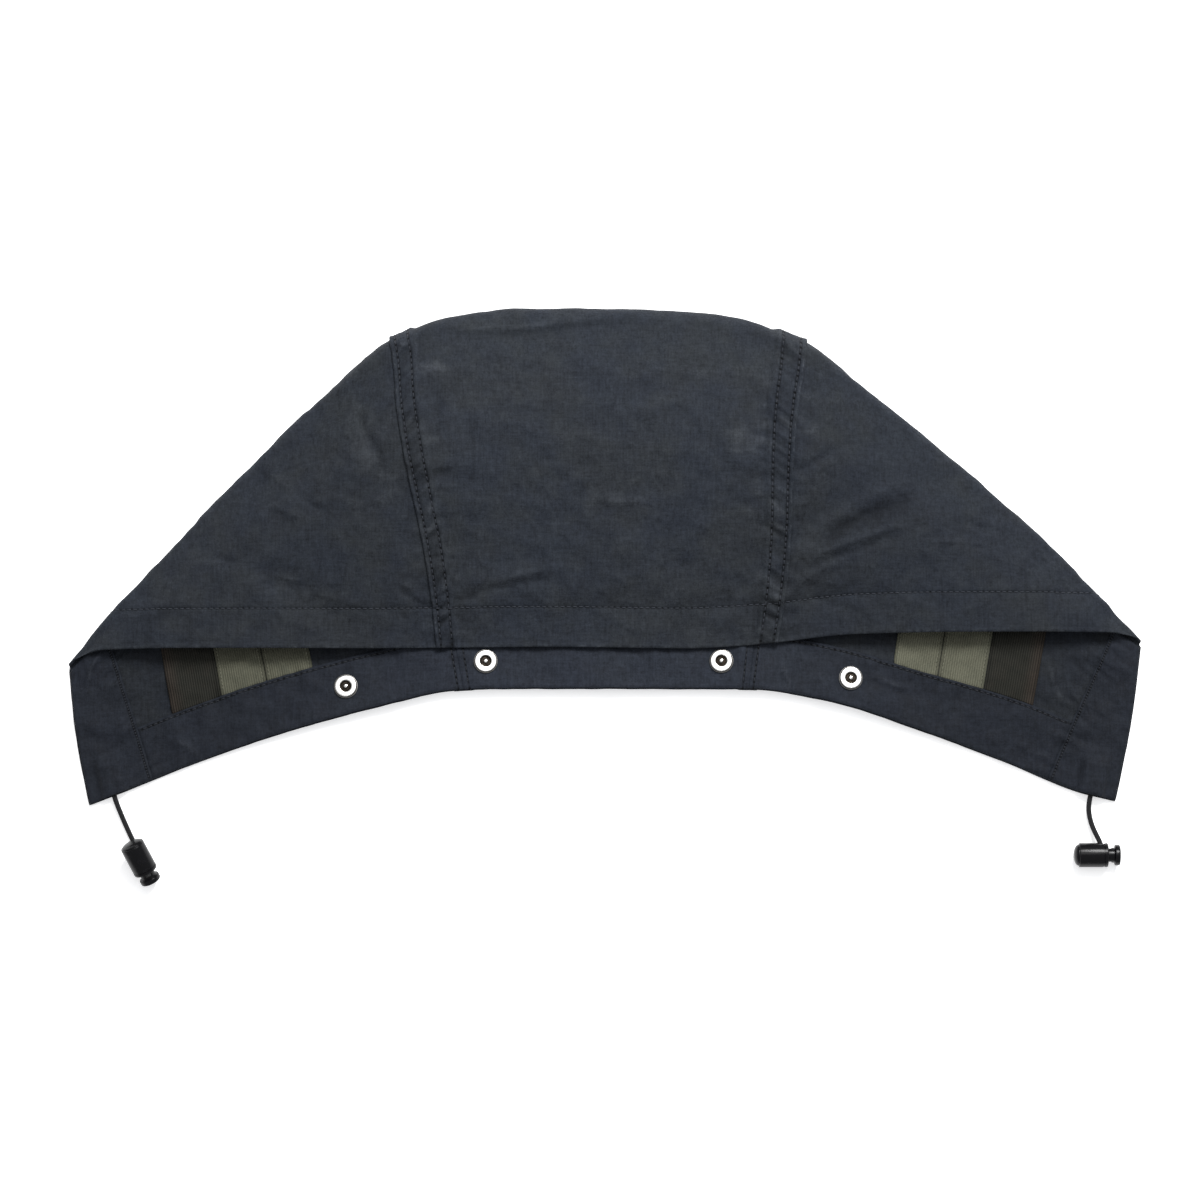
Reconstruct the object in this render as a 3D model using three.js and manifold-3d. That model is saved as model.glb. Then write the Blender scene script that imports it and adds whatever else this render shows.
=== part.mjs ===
// A detachable hood with a drawcord and four snaps, lying flat on the back of its head side.
// Millimetres, +Z up. X runs across the hood, Y from the neck edge to the crown fold, and the
// hood rests on Z = 0 with the middle of its own outline at the origin.
import * as THREE from 'three';
import { mergeVertices } from 'three/addons/utils/BufferGeometryUtils.js';
import Module from 'manifold-3d';

const wasm = await Module();
wasm.setup();

// Driving dimensions of the cloth body.
const hoodWidth = 514;         // fold corner to fold corner, as it lies
const hoodDepth = 237.6;       // crown fold to neck corners
const clothWall = 1.2;         // shell cloth
const facingWall = 1.0;        // facings on the inside of the shell
const tapeWall = 1.0;          // woven tapes on the inside
const clothGap = 0.3;          // clearance between layers of cloth
const loftHeight = 10;         // how far the upper layer arches over the line from fold to hem
const foldHeight = 16;         // thickness over the crown fold
const hemHeight = 13.5;        // face-opening hem above the surface, where it stands highest
const snapLift = 2.4;          // how far the snaps' caps hold the neck edge off the surface
const liftReach = 55;          // how far in from the neck edge that lift dies out
const freeEdgeBow = 1.3;       // how far the free edges bow outwards
const seamSway = 1.4;          // how far the long seams snake on the upper layer

// Seams, facings and tapes.
const seamLap = 9;             // width of the lapped seams
const seamDrop = 2.2;          // run over which the lapped cloth drops back to the shell
const faceHemDepth = 19;       // tunnel facing behind the face-opening hem
const neckFacingDepth = 26;    // neck facing
const tunnelShare = 0.15;      // share of a side panel's width that the drawcord tunnel takes

// Snaps.
const snapRing = { outer: 10.7, hole: 5.6, height: 1.2, chamfer: 0.3 };
const snapFlange = { outer: 12.3, height: 0.5 };
const snapBore = 4.6;
const snapPost = { outer: 1.8, top: 1.26, height: 1.1 };
const snapFloor = 0.5;
const snapCap = { outer: 11, crown: 7.7, height: 1.8, rim: 0.9 };
const snapInset = 13;          // snap centre, in from the neck edge
const snapClearance = 0.3;
const boreReach = 14;          // length of the cutter that bores the cloth for a snap

// Drawcord and cord locks.
const cordDiameter = 2.4;
const cordSides = 8;
const cordStep = 2 * cordDiameter;
const barrel = { outer: 11.6, length: 16.3, endWall: 2, rounding: 1.6, rimChamfer: 0.4 };
const button = {
  neck: 7.2, flange: 9.9, flangeHeight: 2.2, showing: 5.8, plunge: 10.2, chamfer: 0.5,
};
const buttonTravel = 2.3;
const lockClearance = 0.3;
const cordHole = { across: 4.6, fromRim: 2.8, slotHeight: 3.45 };
const tunnelMouth = { inset: 14, plateau: 4, ramp: 8 };

// Shape of the cloth's curves, as shares.
const centreShare = 0.31;      // centre panel's width, of the hood's
const bumpFlat = 0.7;          // half the flat top of a lapped seam's bump, in laps
const bumpFade = 1.8;          // run over which that bump dies out, in laps
const leastSlant = 0.6;        // keeps the fold's turn short where it crosses the cloth aslant
const turnLimit = 0.62;        // most of the upper layer that the fold's turn takes
const insetLimit = 0.9;        // most of the turn that an inner layer is set in
const archLean = 0.75;         // below 1 the upper layer stands highest nearer the fold
const archSharpness = 1.5;
const foldFade = 6;            // a pressed fold dies out over 1 / foldFade of the upper layer
const leastHemStart = 0.42;    // the hem's facing takes at most the rest of the upper layer
const turnProbe = 0.01;        // step in panels for the direction of the fold line
const snapProbe = { along: 3, across: 0.02 };  // millimetres in from the edge, and panels
const tunnelRows = { from: 0.34, to: 0.97 };   // of the free edge, past the tunnel's mouth

const clothRoughness = 0.85;
const tapeRoughness = 0.8;
const plasticRoughness = 0.45;
const metalRoughness = 0.3;

const halfWidth = hoodWidth / 2;
const crownLine = hoodDepth / 2;

// Lines of the cloth, from the neck edge over the fold to the face-opening hem. at counts panels:
// 0 to 1 is the left side panel, 1 to 2 the centre panel and 2 to 3 the right side panel.
// ...Across are shares of the half width, ...Down of the depth from the crown line, and fold,
// hem, loft and lift are shares of foldHeight, hemHeight, loftHeight and snapLift.
const lines = [
  { at: 0.00, neckAcross: -0.958, neckDown: 1.000, foldAcross: -1.000, foldDown: 0.717,
    hemAcross: -0.981, hemDown: 0.706, fold: 0.36, hem: 0.46, loft: 0.00, lift: 0.00 },
  { at: 0.10, neckAcross: -0.896, neckDown: 0.974, foldAcross: -0.951, foldDown: 0.649,
    hemAcross: -0.936, hemDown: 0.689, fold: 0.40, hem: 0.66, loft: 0.05, lift: 0.00 },
  { at: 0.30, neckAcross: -0.759, neckDown: 0.915, foldAcross: -0.827, foldDown: 0.505,
    hemAcross: -0.794, hemDown: 0.685, fold: 0.47, hem: 0.92, loft: 0.20, lift: 0.08 },
  { at: 0.55, neckAcross: -0.588, neckDown: 0.853, foldAcross: -0.682, foldDown: 0.340,
    hemAcross: -0.623, hemDown: 0.685, fold: 0.58, hem: 1.00, loft: 0.45, lift: 0.74 },
  { at: 0.80, neckAcross: -0.415, neckDown: 0.803, foldAcross: -0.529, foldDown: 0.178,
    hemAcross: -0.449, hemDown: 0.685, fold: 0.76, hem: 0.92, loft: 0.72, lift: 1.02 },
  { at: 1.00, neckAcross: -0.280, neckDown: 0.771, foldAcross: -0.399, foldDown: 0.062,
    hemAcross: -0.312, hemDown: 0.684, fold: 0.94, hem: 0.88, loft: 0.90, lift: 0.70 },
  { at: 1.14, neckAcross: -0.202, neckDown: 0.768, foldAcross: -0.308, foldDown: 0.022,
    hemAcross: -0.233, hemDown: 0.683, fold: 0.98, hem: 0.86, loft: 0.96, lift: 0.78 },
  { at: 1.33, neckAcross: -0.093, neckDown: 0.768, foldAcross: -0.168, foldDown: 0.000,
    hemAcross: -0.112, hemDown: 0.682, fold: 1.00, hem: 0.85, loft: 1.00, lift: 0.92 },
  { at: 1.50, neckAcross: 0.002, neckDown: 0.768, foldAcross: 0.000, foldDown: 0.000,
    hemAcross: 0.006, hemDown: 0.683, fold: 1.00, hem: 0.85, loft: 1.00, lift: 0.95 },
  { at: 1.72, neckAcross: 0.140, neckDown: 0.768, foldAcross: 0.159, foldDown: 0.006,
    hemAcross: 0.148, hemDown: 0.685, fold: 1.00, hem: 0.85, loft: 0.98, lift: 0.92 },
  { at: 1.87, neckAcross: 0.215, neckDown: 0.768, foldAcross: 0.261, foldDown: 0.022,
    hemAcross: 0.237, hemDown: 0.681, fold: 0.98, hem: 0.86, loft: 0.94, lift: 0.78 },
  { at: 2.00, neckAcross: 0.282, neckDown: 0.769, foldAcross: 0.374, foldDown: 0.067,
    hemAcross: 0.321, hemDown: 0.673, fold: 0.94, hem: 0.89, loft: 0.86, lift: 0.70 },
  { at: 2.20, neckAcross: 0.419, neckDown: 0.794, foldAcross: 0.500, foldDown: 0.173,
    hemAcross: 0.458, hemDown: 0.657, fold: 0.77, hem: 0.93, loft: 0.70, lift: 1.02 },
  { at: 2.45, neckAcross: 0.580, neckDown: 0.849, foldAcross: 0.663, foldDown: 0.317,
    hemAcross: 0.625, hemDown: 0.653, fold: 0.59, hem: 1.00, loft: 0.44, lift: 0.68 },
  { at: 2.70, neckAcross: 0.747, neckDown: 0.915, foldAcross: 0.822, foldDown: 0.469,
    hemAcross: 0.796, hemDown: 0.652, fold: 0.48, hem: 0.92, loft: 0.20, lift: 0.08 },
  { at: 2.90, neckAcross: 0.881, neckDown: 0.974, foldAcross: 0.947, foldDown: 0.608,
    hemAcross: 0.932, hemDown: 0.653, fold: 0.40, hem: 0.66, loft: 0.05, lift: 0.00 },
  { at: 3.00, neckAcross: 0.948, neckDown: 0.992, foldAcross: 1.000, foldDown: 0.669,
    hemAcross: 0.981, hemDown: 0.662, fold: 0.36, hem: 0.46, loft: 0.00, lift: 0.00 },
];

// Soft folds pressed into the upper layer. across and down place the middle as in the lines
// above, run and width are shares of the depth, turn is in degrees from X, depth of loftHeight.
const folds = [
  { across: -0.56, down: 0.58, run: 0.16, width: 0.035, turn: -32, depth: 0.16 },
  { across: -0.35, down: 0.40, run: 0.12, width: 0.030, turn: -50, depth: 0.12 },
  { across: 0.42, down: 0.41, run: 0.13, width: 0.030, turn: 32, depth: 0.18 },
  { across: 0.46, down: 0.57, run: 0.13, width: 0.030, turn: 24, depth: 0.16 },
  { across: 0.00, down: 0.62, run: 0.26, width: 0.030, turn: 4, depth: 0.12 },
];

const tapes = [
  { name: 'brown', from: 0.26, to: 0.39, colour: 0x2e2d2b },
  { name: 'olive_outer', from: 0.396, to: 0.515, colour: 0x585748 },
  { name: 'olive_inner', from: 0.521, to: 0.64, colour: 0x585748 },
];
const tapeTop = 0.8;

// Where each snap sits: at counts panels as above.
const snapSpots = [
  { name: '1', at: 0.718 },
  { name: '2', at: 1.117 },
  { name: '3', at: 1.868 },
  { name: '4', at: 2.246 },
];

// The drawcord's two ends. at places the tunnel mouth on the side panel. The points run from
// inside the tunnel to the pinch inside the lock, and the lock lies by place, heading and tilt:
// place is the middle of the barrel's rim, and heading and tilt (degrees) aim its button.
const drawcords = [
  {
    side: 'left', at: 0.077, place: [-218.7, -150.6, 7.00], heading: -63.8, tilt: -24,
    points: [
      [-236.4, -103.5, 3.15], [-235.6, -107.9, 3.15], [-234.9, -111.9, 3.15], [-234.2, -115.5, 3.05],
      [-232.9, -119.3, 2.70], [-231.4, -123.1, 2.20], [-229.9, -126.7, 1.75], [-228.4, -130.1, 1.45],
      [-226.8, -133.6, 1.30], [-225.2, -136.9, 1.25], [-223.8, -139.9, 1.25], [-222.6, -142.4, 1.40],
      [-221.7, -144.3, 2.10], [-221.1, -145.6, 3.30], [-220.7, -146.5, 4.80], [-220.4, -147.2, 6.30],
    ],
  },
  {
    side: 'right', at: 2.931, place: [239.6, -143.0, 5.85], heading: 0, tilt: 0,
    points: [
      [233.8, -103.2, 3.15], [233.1, -107.3, 3.15], [232.4, -111.3, 3.15], [231.8, -115.0, 3.05],
      [231.3, -117.9, 2.85], [231.1, -120.7, 2.70], [231.3, -123.5, 2.65], [231.8, -126.1, 2.75],
      [232.5, -128.6, 3.05], [233.4, -131.0, 3.55], [234.4, -133.3, 4.20], [235.4, -135.5, 4.90],
      [236.2, -137.7, 5.50], [236.6, -139.7, 5.80], [236.8, -141.5, 5.90],
    ],
  },
];

const clothColour = 0x373a40;
const hemColour = 0x34373e;
const metalColour = 0xd8d8d6;
const cordColour = 0x1b1c1f;
const lockColour = 0x26272a;

// Curve through a column of the lines, smooth and without overshoot.
function column(name, at) {
  const last = lines.length - 1;
  let i = 0;
  while (i < last - 1 && at > lines[i + 1].at) i += 1;
  const slope = (j) => (lines[j + 1][name] - lines[j][name]) / (lines[j + 1].at - lines[j].at);
  const tangent = (j) => {
    if (j === 0) return slope(0);
    if (j === last) return slope(last - 1);
    const before = slope(j - 1);
    const after = slope(j);
    return before * after <= 0 ? 0 : (2 * before * after) / (before + after);
  };
  const span = lines[i + 1].at - lines[i].at;
  const u = (at - lines[i].at) / span;
  const a = lines[i][name];
  const b = lines[i + 1][name];
  const p = tangent(i) * span;
  const q = tangent(i + 1) * span;
  return a + p * u + (3 * (b - a) - 2 * p - q) * u * u + (p + q - 2 * (b - a)) * u * u * u;
}

const smooth = (x) => {
  const u = Math.min(1, Math.max(0, x));
  return u * u * (3 - 2 * u);
};

function planPoint(kind, at) {
  const x = halfWidth * column(`${kind}Across`, at);
  const y = crownLine - hoodDepth * column(`${kind}Down`, at);
  return new THREE.Vector2(x, y);
}

// A bump that is 1 on the nearer lapped seam and dies out beside it.
function seamBump(at) {
  const panelWidth = hoodWidth * centreShare;
  const lapShare = seamLap / panelWidth;
  const left = Math.abs(at - 1 - lapShare / 2);
  const right = Math.abs(at - 2 + lapShare / 2);
  const away = Math.max(0, Math.min(left, right) * panelWidth - seamLap * bumpFlat);
  return Math.exp(-((away / (bumpFade * seamLap)) ** 2));
}

function foldDepthAt(point) {
  let sink = 0;
  for (const row of folds) {
    const turn = THREE.MathUtils.degToRad(row.turn);
    const dx = point.x - row.across * halfWidth;
    const dy = point.y - (crownLine - row.down * hoodDepth);
    const along = (dx * Math.cos(turn) + dy * Math.sin(turn)) / (row.run * hoodDepth);
    const aside = (-dx * Math.sin(turn) + dy * Math.cos(turn)) / (row.width * hoodDepth);
    sink += row.depth * loftHeight * Math.exp(-along * along - aside * aside);
  }
  return sink;
}

// Everything that one line of the cloth needs, worked out once.
const sections = new Map();
function section(at) {
  if (sections.has(at)) return sections.get(at);
  const neck = planPoint('neck', at);
  const fold = planPoint('fold', at);
  const hem = planPoint('hem', at);
  const along = planPoint('fold', Math.min(3, at + turnProbe));
  along.sub(planPoint('fold', Math.max(0, at - turnProbe)));
  const foldNormal = new THREE.Vector2(along.y, -along.x).normalize();
  const lowerWay = neck.clone().sub(fold);
  const upperWay = hem.clone().sub(fold);
  const lowerLength = lowerWay.length();
  const upperLength = upperWay.length();
  lowerWay.normalize();
  upperWay.normalize();
  const slant = Math.max(leastSlant, Math.abs(foldNormal.dot(lowerWay)));
  const radius = foldHeight * column('fold', at) / 2;
  const base = (clothWall + clothGap) * seamBump(at);
  const turnReach = Math.min(radius / slant, upperLength * turnLimit);
  const found = {
    fold, lowerWay, upperWay, lowerLength, upperLength, slant, radius, base, turnReach,
    lift: snapLift * column('lift', at),
    loft: loftHeight * column('loft', at),
    hemTop: hemHeight * column('hem', at),
  };
  sections.set(at, found);
  return found;
}

// Height of the lower layer's outer side, at a distance in from the neck edge.
function lowerHeight(line, distance) {
  const share = Math.max(0, 1 - distance / liftReach);
  return line.base + line.lift * 2 * share * share;
}

// A point of the lower layer: distance is measured in from the neck edge, depth is how far
// inside the shell's outer side it lies.
function lowerPoint(at, distance, depth) {
  const line = section(at);
  const away = line.lowerLength - distance;
  const bow = freeEdgeBow * Math.sin(Math.PI * distance / line.lowerLength);
  const edge = at < 1 ? -Math.max(0, 1 - at / tunnelShare) : Math.max(0, 1 - (3 - at) / tunnelShare);
  const x = line.fold.x + line.lowerWay.x * away + bow * edge;
  const y = line.fold.y + line.lowerWay.y * away;
  return new THREE.Vector3(x, y, lowerHeight(line, distance) + depth);
}

// A point of the fold's half turn, share 0 at the lower layer and 1 at the upper one.
function turnPoint(at, share, depth) {
  const line = section(at);
  const angle = Math.PI * share;
  const way = line.lowerWay.clone().lerp(line.upperWay, smooth(share)).normalize();
  const inset = Math.min(depth / line.slant, line.turnReach * insetLimit);
  const away = line.turnReach - (line.turnReach - inset) * Math.sin(angle);
  const rise = line.radius - (line.radius - depth) * Math.cos(angle);
  return new THREE.Vector3(line.fold.x + way.x * away, line.fold.y + way.y * away, line.base + rise);
}

// A point of the upper layer, share 0 at the fold's turn and 1 at the face-opening hem.
function upperPoint(at, share, depth) {
  const line = section(at);
  const away = line.turnReach + (line.upperLength - line.turnReach) * share;
  const x = line.fold.x + line.upperWay.x * away;
  const y = line.fold.y + line.upperWay.y * away;
  const sway = -seamSway * Math.sin(2 * Math.PI * share) * seamBump(at) * smooth(share * foldFade);
  const start = line.base + 2 * line.radius;
  const arch = Math.sin(Math.PI * share ** archLean) ** archSharpness;
  const level = start + (line.hemTop - start) * smooth(share);
  const ends = smooth(share * foldFade) * smooth((1 - share) * foldFade);
  const fade = Math.min(1, line.upperLength / faceHemDepth / 4) * ends;
  const height = level + line.loft * arch - fade * foldDepthAt({ x, y });
  return new THREE.Vector3(x + sway, y, height - depth);
}

// Rows of a sheet: each row is a function of the line and the depth that returns a point.
const lowerRow = (distanceOf) => (at, depth) => lowerPoint(at, distanceOf(section(at)), depth);
const turnRow = (share) => (at, depth) => turnPoint(at, share, depth);
const upperRow = (shareOf) => (at, depth) => upperPoint(at, shareOf(section(at)), depth);

// A closed sheet between two depths. outer and inner give the depth of its two sides at a line
// and a row number.
function sheet(ats, rows, outer, inner) {
  const positions = [];
  const faces = [];
  const columns = ats.length;
  const corner = (side, i, j) => side * rows.length * columns + j * columns + i;
  for (const depthOf of [outer, inner]) {
    rows.forEach((row, j) => ats.forEach((at) => positions.push(...row(at, depthOf(at, j)).toArray())));
  }
  const quad = (a, b, c, d) => faces.push(a, b, c, a, c, d);
  for (let j = 0; j < rows.length - 1; j += 1) {
    for (let i = 0; i < columns - 1; i += 1) {
      quad(corner(0, i, j), corner(0, i, j + 1), corner(0, i + 1, j + 1), corner(0, i + 1, j));
      quad(corner(1, i, j), corner(1, i + 1, j), corner(1, i + 1, j + 1), corner(1, i, j + 1));
    }
  }
  for (let i = 0; i < columns - 1; i += 1) {
    const end = rows.length - 1;
    quad(corner(0, i, 0), corner(0, i + 1, 0), corner(1, i + 1, 0), corner(1, i, 0));
    quad(corner(0, i, end), corner(1, i, end), corner(1, i + 1, end), corner(0, i + 1, end));
  }
  for (let j = 0; j < rows.length - 1; j += 1) {
    const end = columns - 1;
    quad(corner(0, 0, j), corner(1, 0, j), corner(1, 0, j + 1), corner(0, 0, j + 1));
    quad(corner(0, end, j), corner(0, end, j + 1), corner(1, end, j + 1), corner(1, end, j));
  }
  const geometry = new THREE.BufferGeometry();
  geometry.setAttribute('position', new THREE.Float32BufferAttribute(positions, 3));
  geometry.setIndex(faces);
  return facingOut(geometry);
}

function volumeOf(geometry) {
  const p = geometry.attributes.position;
  const index = geometry.index.array;
  const corners = [new THREE.Vector3(), new THREE.Vector3(), new THREE.Vector3()];
  let volume = 0;
  for (let i = 0; i < index.length; i += 3) {
    corners.forEach((v, k) => v.fromBufferAttribute(p, index[i + k]));
    volume += corners[0].dot(corners[1].cross(corners[2])) / 6;
  }
  return volume;
}

function facingOut(geometry) {
  if (volumeOf(geometry) > 0) return geometry;
  const index = geometry.index.array;
  for (let i = 0; i < index.length; i += 3) [index[i], index[i + 1]] = [index[i + 1], index[i]];
  return geometry;
}

function toSolid(geometry) {
  const bare = geometry.clone();
  bare.deleteAttribute('normal');
  bare.deleteAttribute('uv');
  const merged = mergeVertices(bare, 1e-4);
  const vertProperties = new Float32Array(merged.attributes.position.array);
  const triVerts = new Uint32Array(merged.index.array);
  return new wasm.Manifold(new wasm.Mesh({ numProp: 3, vertProperties, triVerts }));
}

function toGeometry(solid) {
  const mesh = solid.getMesh();
  const geometry = new THREE.BufferGeometry();
  geometry.setAttribute('position', new THREE.Float32BufferAttribute(mesh.vertProperties, 3));
  geometry.setIndex(Array.from(mesh.triVerts));
  return geometry;
}

// Evenly spread numbers, ends included.
function spread(from, to, count) {
  return Array.from({ length: count }, (_, i) => from + ((to - from) * i) / (count - 1));
}

const hood = new THREE.Group();

function addPiece(parent, name, geometry, colour, roughness, metalness = 0) {
  const material = new THREE.MeshStandardMaterial({ color: colour, roughness, metalness });
  const mesh = new THREE.Mesh(geometry, material);
  mesh.name = name;
  parent.add(mesh);
  return mesh;
}

// Width of one panel at the hem, which turns millimetres across the cloth into panels.
const panelAcross = (from, to) => planPoint('hem', from).distanceTo(planPoint('hem', to));
const centreWidth = panelAcross(1, 2);
const sideWidth = panelAcross(0, 1);
const lapShare = seamLap / centreWidth;
const stepShare = seamDrop / centreWidth;
const gapShare = clothGap / centreWidth;

// Shell rows, shared by the three panels so that their sides lie together.
const shellRows = [
  lowerRow(() => 0),
  lowerRow(() => snapInset / 2),
  lowerRow(() => snapInset),
  lowerRow(() => neckFacingDepth),
  ...spread(0.25, 1, 5).map((share) => lowerRow((line) => {
    const reach = line.lowerLength - line.turnReach - neckFacingDepth;
    return neckFacingDepth + Math.max(0, reach) * share;
  })),
  turnRow(0.25), turnRow(0.5), turnRow(0.75),
  ...[0, 0.08, 0.2, 0.35, 0.5, 0.65, 0.8, 0.91, 1].map((share) => upperRow(() => share)),
];

function snapFrame(at) {
  const lowest = lowerPoint(at, snapInset, 0);
  const inwards = lowerPoint(at, snapInset + snapProbe.along, 0);
  inwards.sub(lowerPoint(at, snapInset - snapProbe.along, 0)).normalize();
  const across = lowerPoint(at + snapProbe.across, snapInset, 0);
  across.sub(lowerPoint(at - snapProbe.across, snapInset, 0)).normalize();
  const up = new THREE.Vector3().crossVectors(across, inwards).normalize();
  const flatAcross = new THREE.Vector3().crossVectors(inwards, up).normalize();
  const turn = new THREE.Matrix4().makeBasis(flatAcross, inwards, up);
  return { place: lowest, turn };
}

function placed(geometry, frame) {
  const moved = geometry.clone().applyMatrix4(frame.turn);
  return moved.translate(frame.place.x, frame.place.y, frame.place.z);
}

// Upright bore through every cloth layer where a snap is set.
function snapBores() {
  return snapSpots.map(({ at }) => {
    const radius = snapBore / 2 + snapClearance;
    const bore = new THREE.CylinderGeometry(radius, radius, boreReach, 12);
    bore.rotateX(Math.PI / 2);
    return toSolid(placed(bore, snapFrame(at)));
  });
}

const bores = snapBores();
function bored(geometry) {
  return toGeometry(bores.reduce((solid, bore) => solid.subtract(bore), toSolid(geometry)));
}

const shellDepth = () => 0;
const shellInside = () => clothWall;
const facingOuter = () => clothWall + clothGap;
const facingInner = () => clothWall + clothGap + facingWall;

// Lines along which a side panel and its hem facing are faceted, so that they lie together.
const sideAts = [...spread(0, 0.2, 5), ...spread(0.3, 1, 9)];
const lapEnd = lapShare + gapShare * 2;
const innerAts = [
  1 + lapEnd, 1 + lapEnd + stepShare, ...spread(1.14, 1.86, 8), 2 - lapEnd - stepShare, 2 - lapEnd,
];

function addShell() {
  const leftAts = [...sideAts, 1 + lapShare / 2, 1 + lapShare];
  const rightAts = leftAts.map((at) => 3 - at).reverse();
  for (const [side, ats] of [['left', leftAts], ['right', rightAts]]) {
    const panel = bored(sheet(ats, shellRows, shellDepth, shellInside));
    addPiece(hood, `side_panel_${side}`, panel, clothColour, clothRoughness);
  }

  const raised = clothWall + clothGap;
  const centreAts = [1, 1 + lapShare / 2, ...innerAts, 2 - lapShare / 2, 2];
  const outer = (at) => {
    const fromSeam = Math.min(at - 1, 2 - at);
    return fromSeam < lapEnd + stepShare / 2 ? -raised : 0;
  };
  const inner = (at) => outer(at) + clothWall;
  const centre = bored(sheet(centreAts, shellRows, outer, inner));
  addPiece(hood, 'center_panel', centre, clothColour, clothRoughness);
}

function addFacings() {
  const split = 1 + lapShare / 2;
  const half = gapShare;
  const neckRows = [0, 0.25, 0.5, 0.75, 1].map((share) => lowerRow(() => neckFacingDepth * share));
  const neckPieces = [
    { name: 'left', ats: spread(tunnelShare + 2 * clothGap / sideWidth, split - half, 9) },
    { name: 'center', ats: [split + half, ...innerAts, 3 - split - half] },
    { name: 'right', ats: spread(3 - split + half, 3 - tunnelShare - 2 * clothGap / sideWidth, 9) },
  ];
  for (const { name, ats } of neckPieces) {
    const strip = sheet(ats, neckRows, facingOuter, facingInner);
    addPiece(hood, `neck_facing_${name}`, bored(strip), hemColour, clothRoughness);
  }

  const hemStart = (line) => {
    const flat = line.upperLength - line.turnReach;
    return Math.max(leastHemStart, 1 - faceHemDepth / flat);
  };
  const hemRows = spread(0, 1, 5).map((share) => upperRow((line) => {
    const start = hemStart(line);
    return start + (1 - start) * share;
  }));
  const hemPieces = [
    { name: 'left', ats: [...sideAts, split - half] },
    { name: 'brow', ats: [split + half, ...innerAts, 3 - split - half] },
    { name: 'right', ats: [...sideAts, split - half].map((at) => 3 - at).reverse() },
  ];
  for (const { name, ats } of hemPieces) {
    const strip = sheet(ats, hemRows, facingOuter, facingInner);
    addPiece(hood, `face_facing_${name}`, strip, hemColour, clothRoughness);
  }

  // Along the free edges the facing is raised over the drawcord at the tunnel's mouth.
  for (const { side, at } of drawcords) {
    const mm = 1 / sideWidth;
    const mouth = side === 'left' ? at : 3 - at;
    const shares = [
      0, mouth - tunnelMouth.ramp * mm, mouth - tunnelMouth.plateau * mm, mouth,
      mouth + tunnelMouth.plateau * mm, mouth + tunnelMouth.ramp * mm, tunnelShare,
    ];
    const ats = side === 'left' ? shares : shares.map((share) => 3 - share).reverse();
    const bulge = cordDiameter + clothGap * 2;
    const inset = tunnelMouth.inset;
    const raise = (lineAt, row) => {
      const off = Math.abs((side === 'left' ? lineAt : 3 - lineAt) - mouth) * sideWidth;
      const near = row < 3 ? 1 : 0;
      return off < tunnelMouth.plateau + 0.5 ? bulge * near : 0;
    };
    const rows = [
      lowerRow(() => 0), lowerRow(() => inset / 2), lowerRow(() => inset), lowerRow(() => inset * 1.5),
      ...spread(tunnelRows.from, tunnelRows.to, 4).map((share) => lowerRow((line) => {
        const reach = line.lowerLength - line.turnReach;
        return inset * 1.5 + (reach - inset * 1.5) * share;
      })),
    ];
    const outer = (lineAt, row) => clothWall + clothGap + raise(lineAt, row);
    const inner = (lineAt, row) => outer(lineAt, row) + facingWall;
    addPiece(hood, `tunnel_facing_${side}`, sheet(ats, rows, outer, inner), hemColour, clothRoughness);
  }
}

function addTapes() {
  const start = neckFacingDepth + clothGap;
  const rows = spread(0, 1, 6).map((share) => lowerRow((line) => {
    const reach = (line.lowerLength - line.turnReach) * tapeTop;
    return start + (reach - start) * share;
  }));
  const outer = () => clothWall + clothGap;
  const inner = () => clothWall + clothGap + tapeWall;
  for (const { name, from, to, colour } of tapes) {
    const ats = spread(from, to, 4);
    const mirrored = ats.map((at) => 3 - at).reverse();
    addPiece(hood, `inner_tape_left_${name}`, sheet(ats, rows, outer, inner), colour, tapeRoughness);
    addPiece(hood, `inner_tape_right_${name}`, sheet(mirrored, rows, outer, inner), colour, tapeRoughness);
  }
}

// A turned piece about Z from radius and height pairs, which start and end on the axis.
function turned(profile, sides) {
  const points = profile.map(([radius, height]) => new THREE.Vector2(radius, height));
  const lathe = new THREE.LatheGeometry(points, sides);
  lathe.rotateX(Math.PI / 2);
  lathe.deleteAttribute('normal');
  lathe.deleteAttribute('uv');
  return facingOut(mergeVertices(lathe, 1e-4));
}

function addSnaps() {
  const seat = clothWall + clothGap + facingWall + clothGap;
  const shank = snapBore / 2;
  const ring = snapRing.outer / 2;
  const hole = snapRing.hole / 2;
  const flange = snapFlange.outer / 2;
  const flangeTop = seat + snapFlange.height;
  const top = flangeTop + snapRing.height;
  const post = snapPost.outer / 2;
  const floor = seat + snapFloor;
  const capTop = -clothGap;
  const chamfer = snapRing.chamfer;
  for (const { name, at } of snapSpots) {
    const frame = snapFrame(at);
    const socket = turned([
      [0, capTop + snapClearance / 2], [shank, capTop + snapClearance / 2], [shank, seat], [flange, seat],
      [flange, flangeTop], [ring, flangeTop], [ring, top - chamfer], [ring - chamfer, top],
      [hole + chamfer, top], [hole, top - chamfer], [hole, floor], [post, floor],
      [snapPost.top / 2, floor + snapPost.height], [0, floor + snapPost.height],
    ], 16);
    const capRadius = snapCap.outer / 2;
    const cap = turned([
      [0, capTop], [capRadius, capTop], [capRadius, capTop - snapCap.rim],
      [snapCap.crown / 2, capTop - snapCap.height], [0, capTop - snapCap.height],
    ], 12);
    addPiece(hood, `snap_socket_${name}`, placed(socket, frame), metalColour, metalRoughness, 1);
    addPiece(hood, `snap_cap_${name}`, placed(cap, frame), metalColour, metalRoughness, 1);
  }
}

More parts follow.
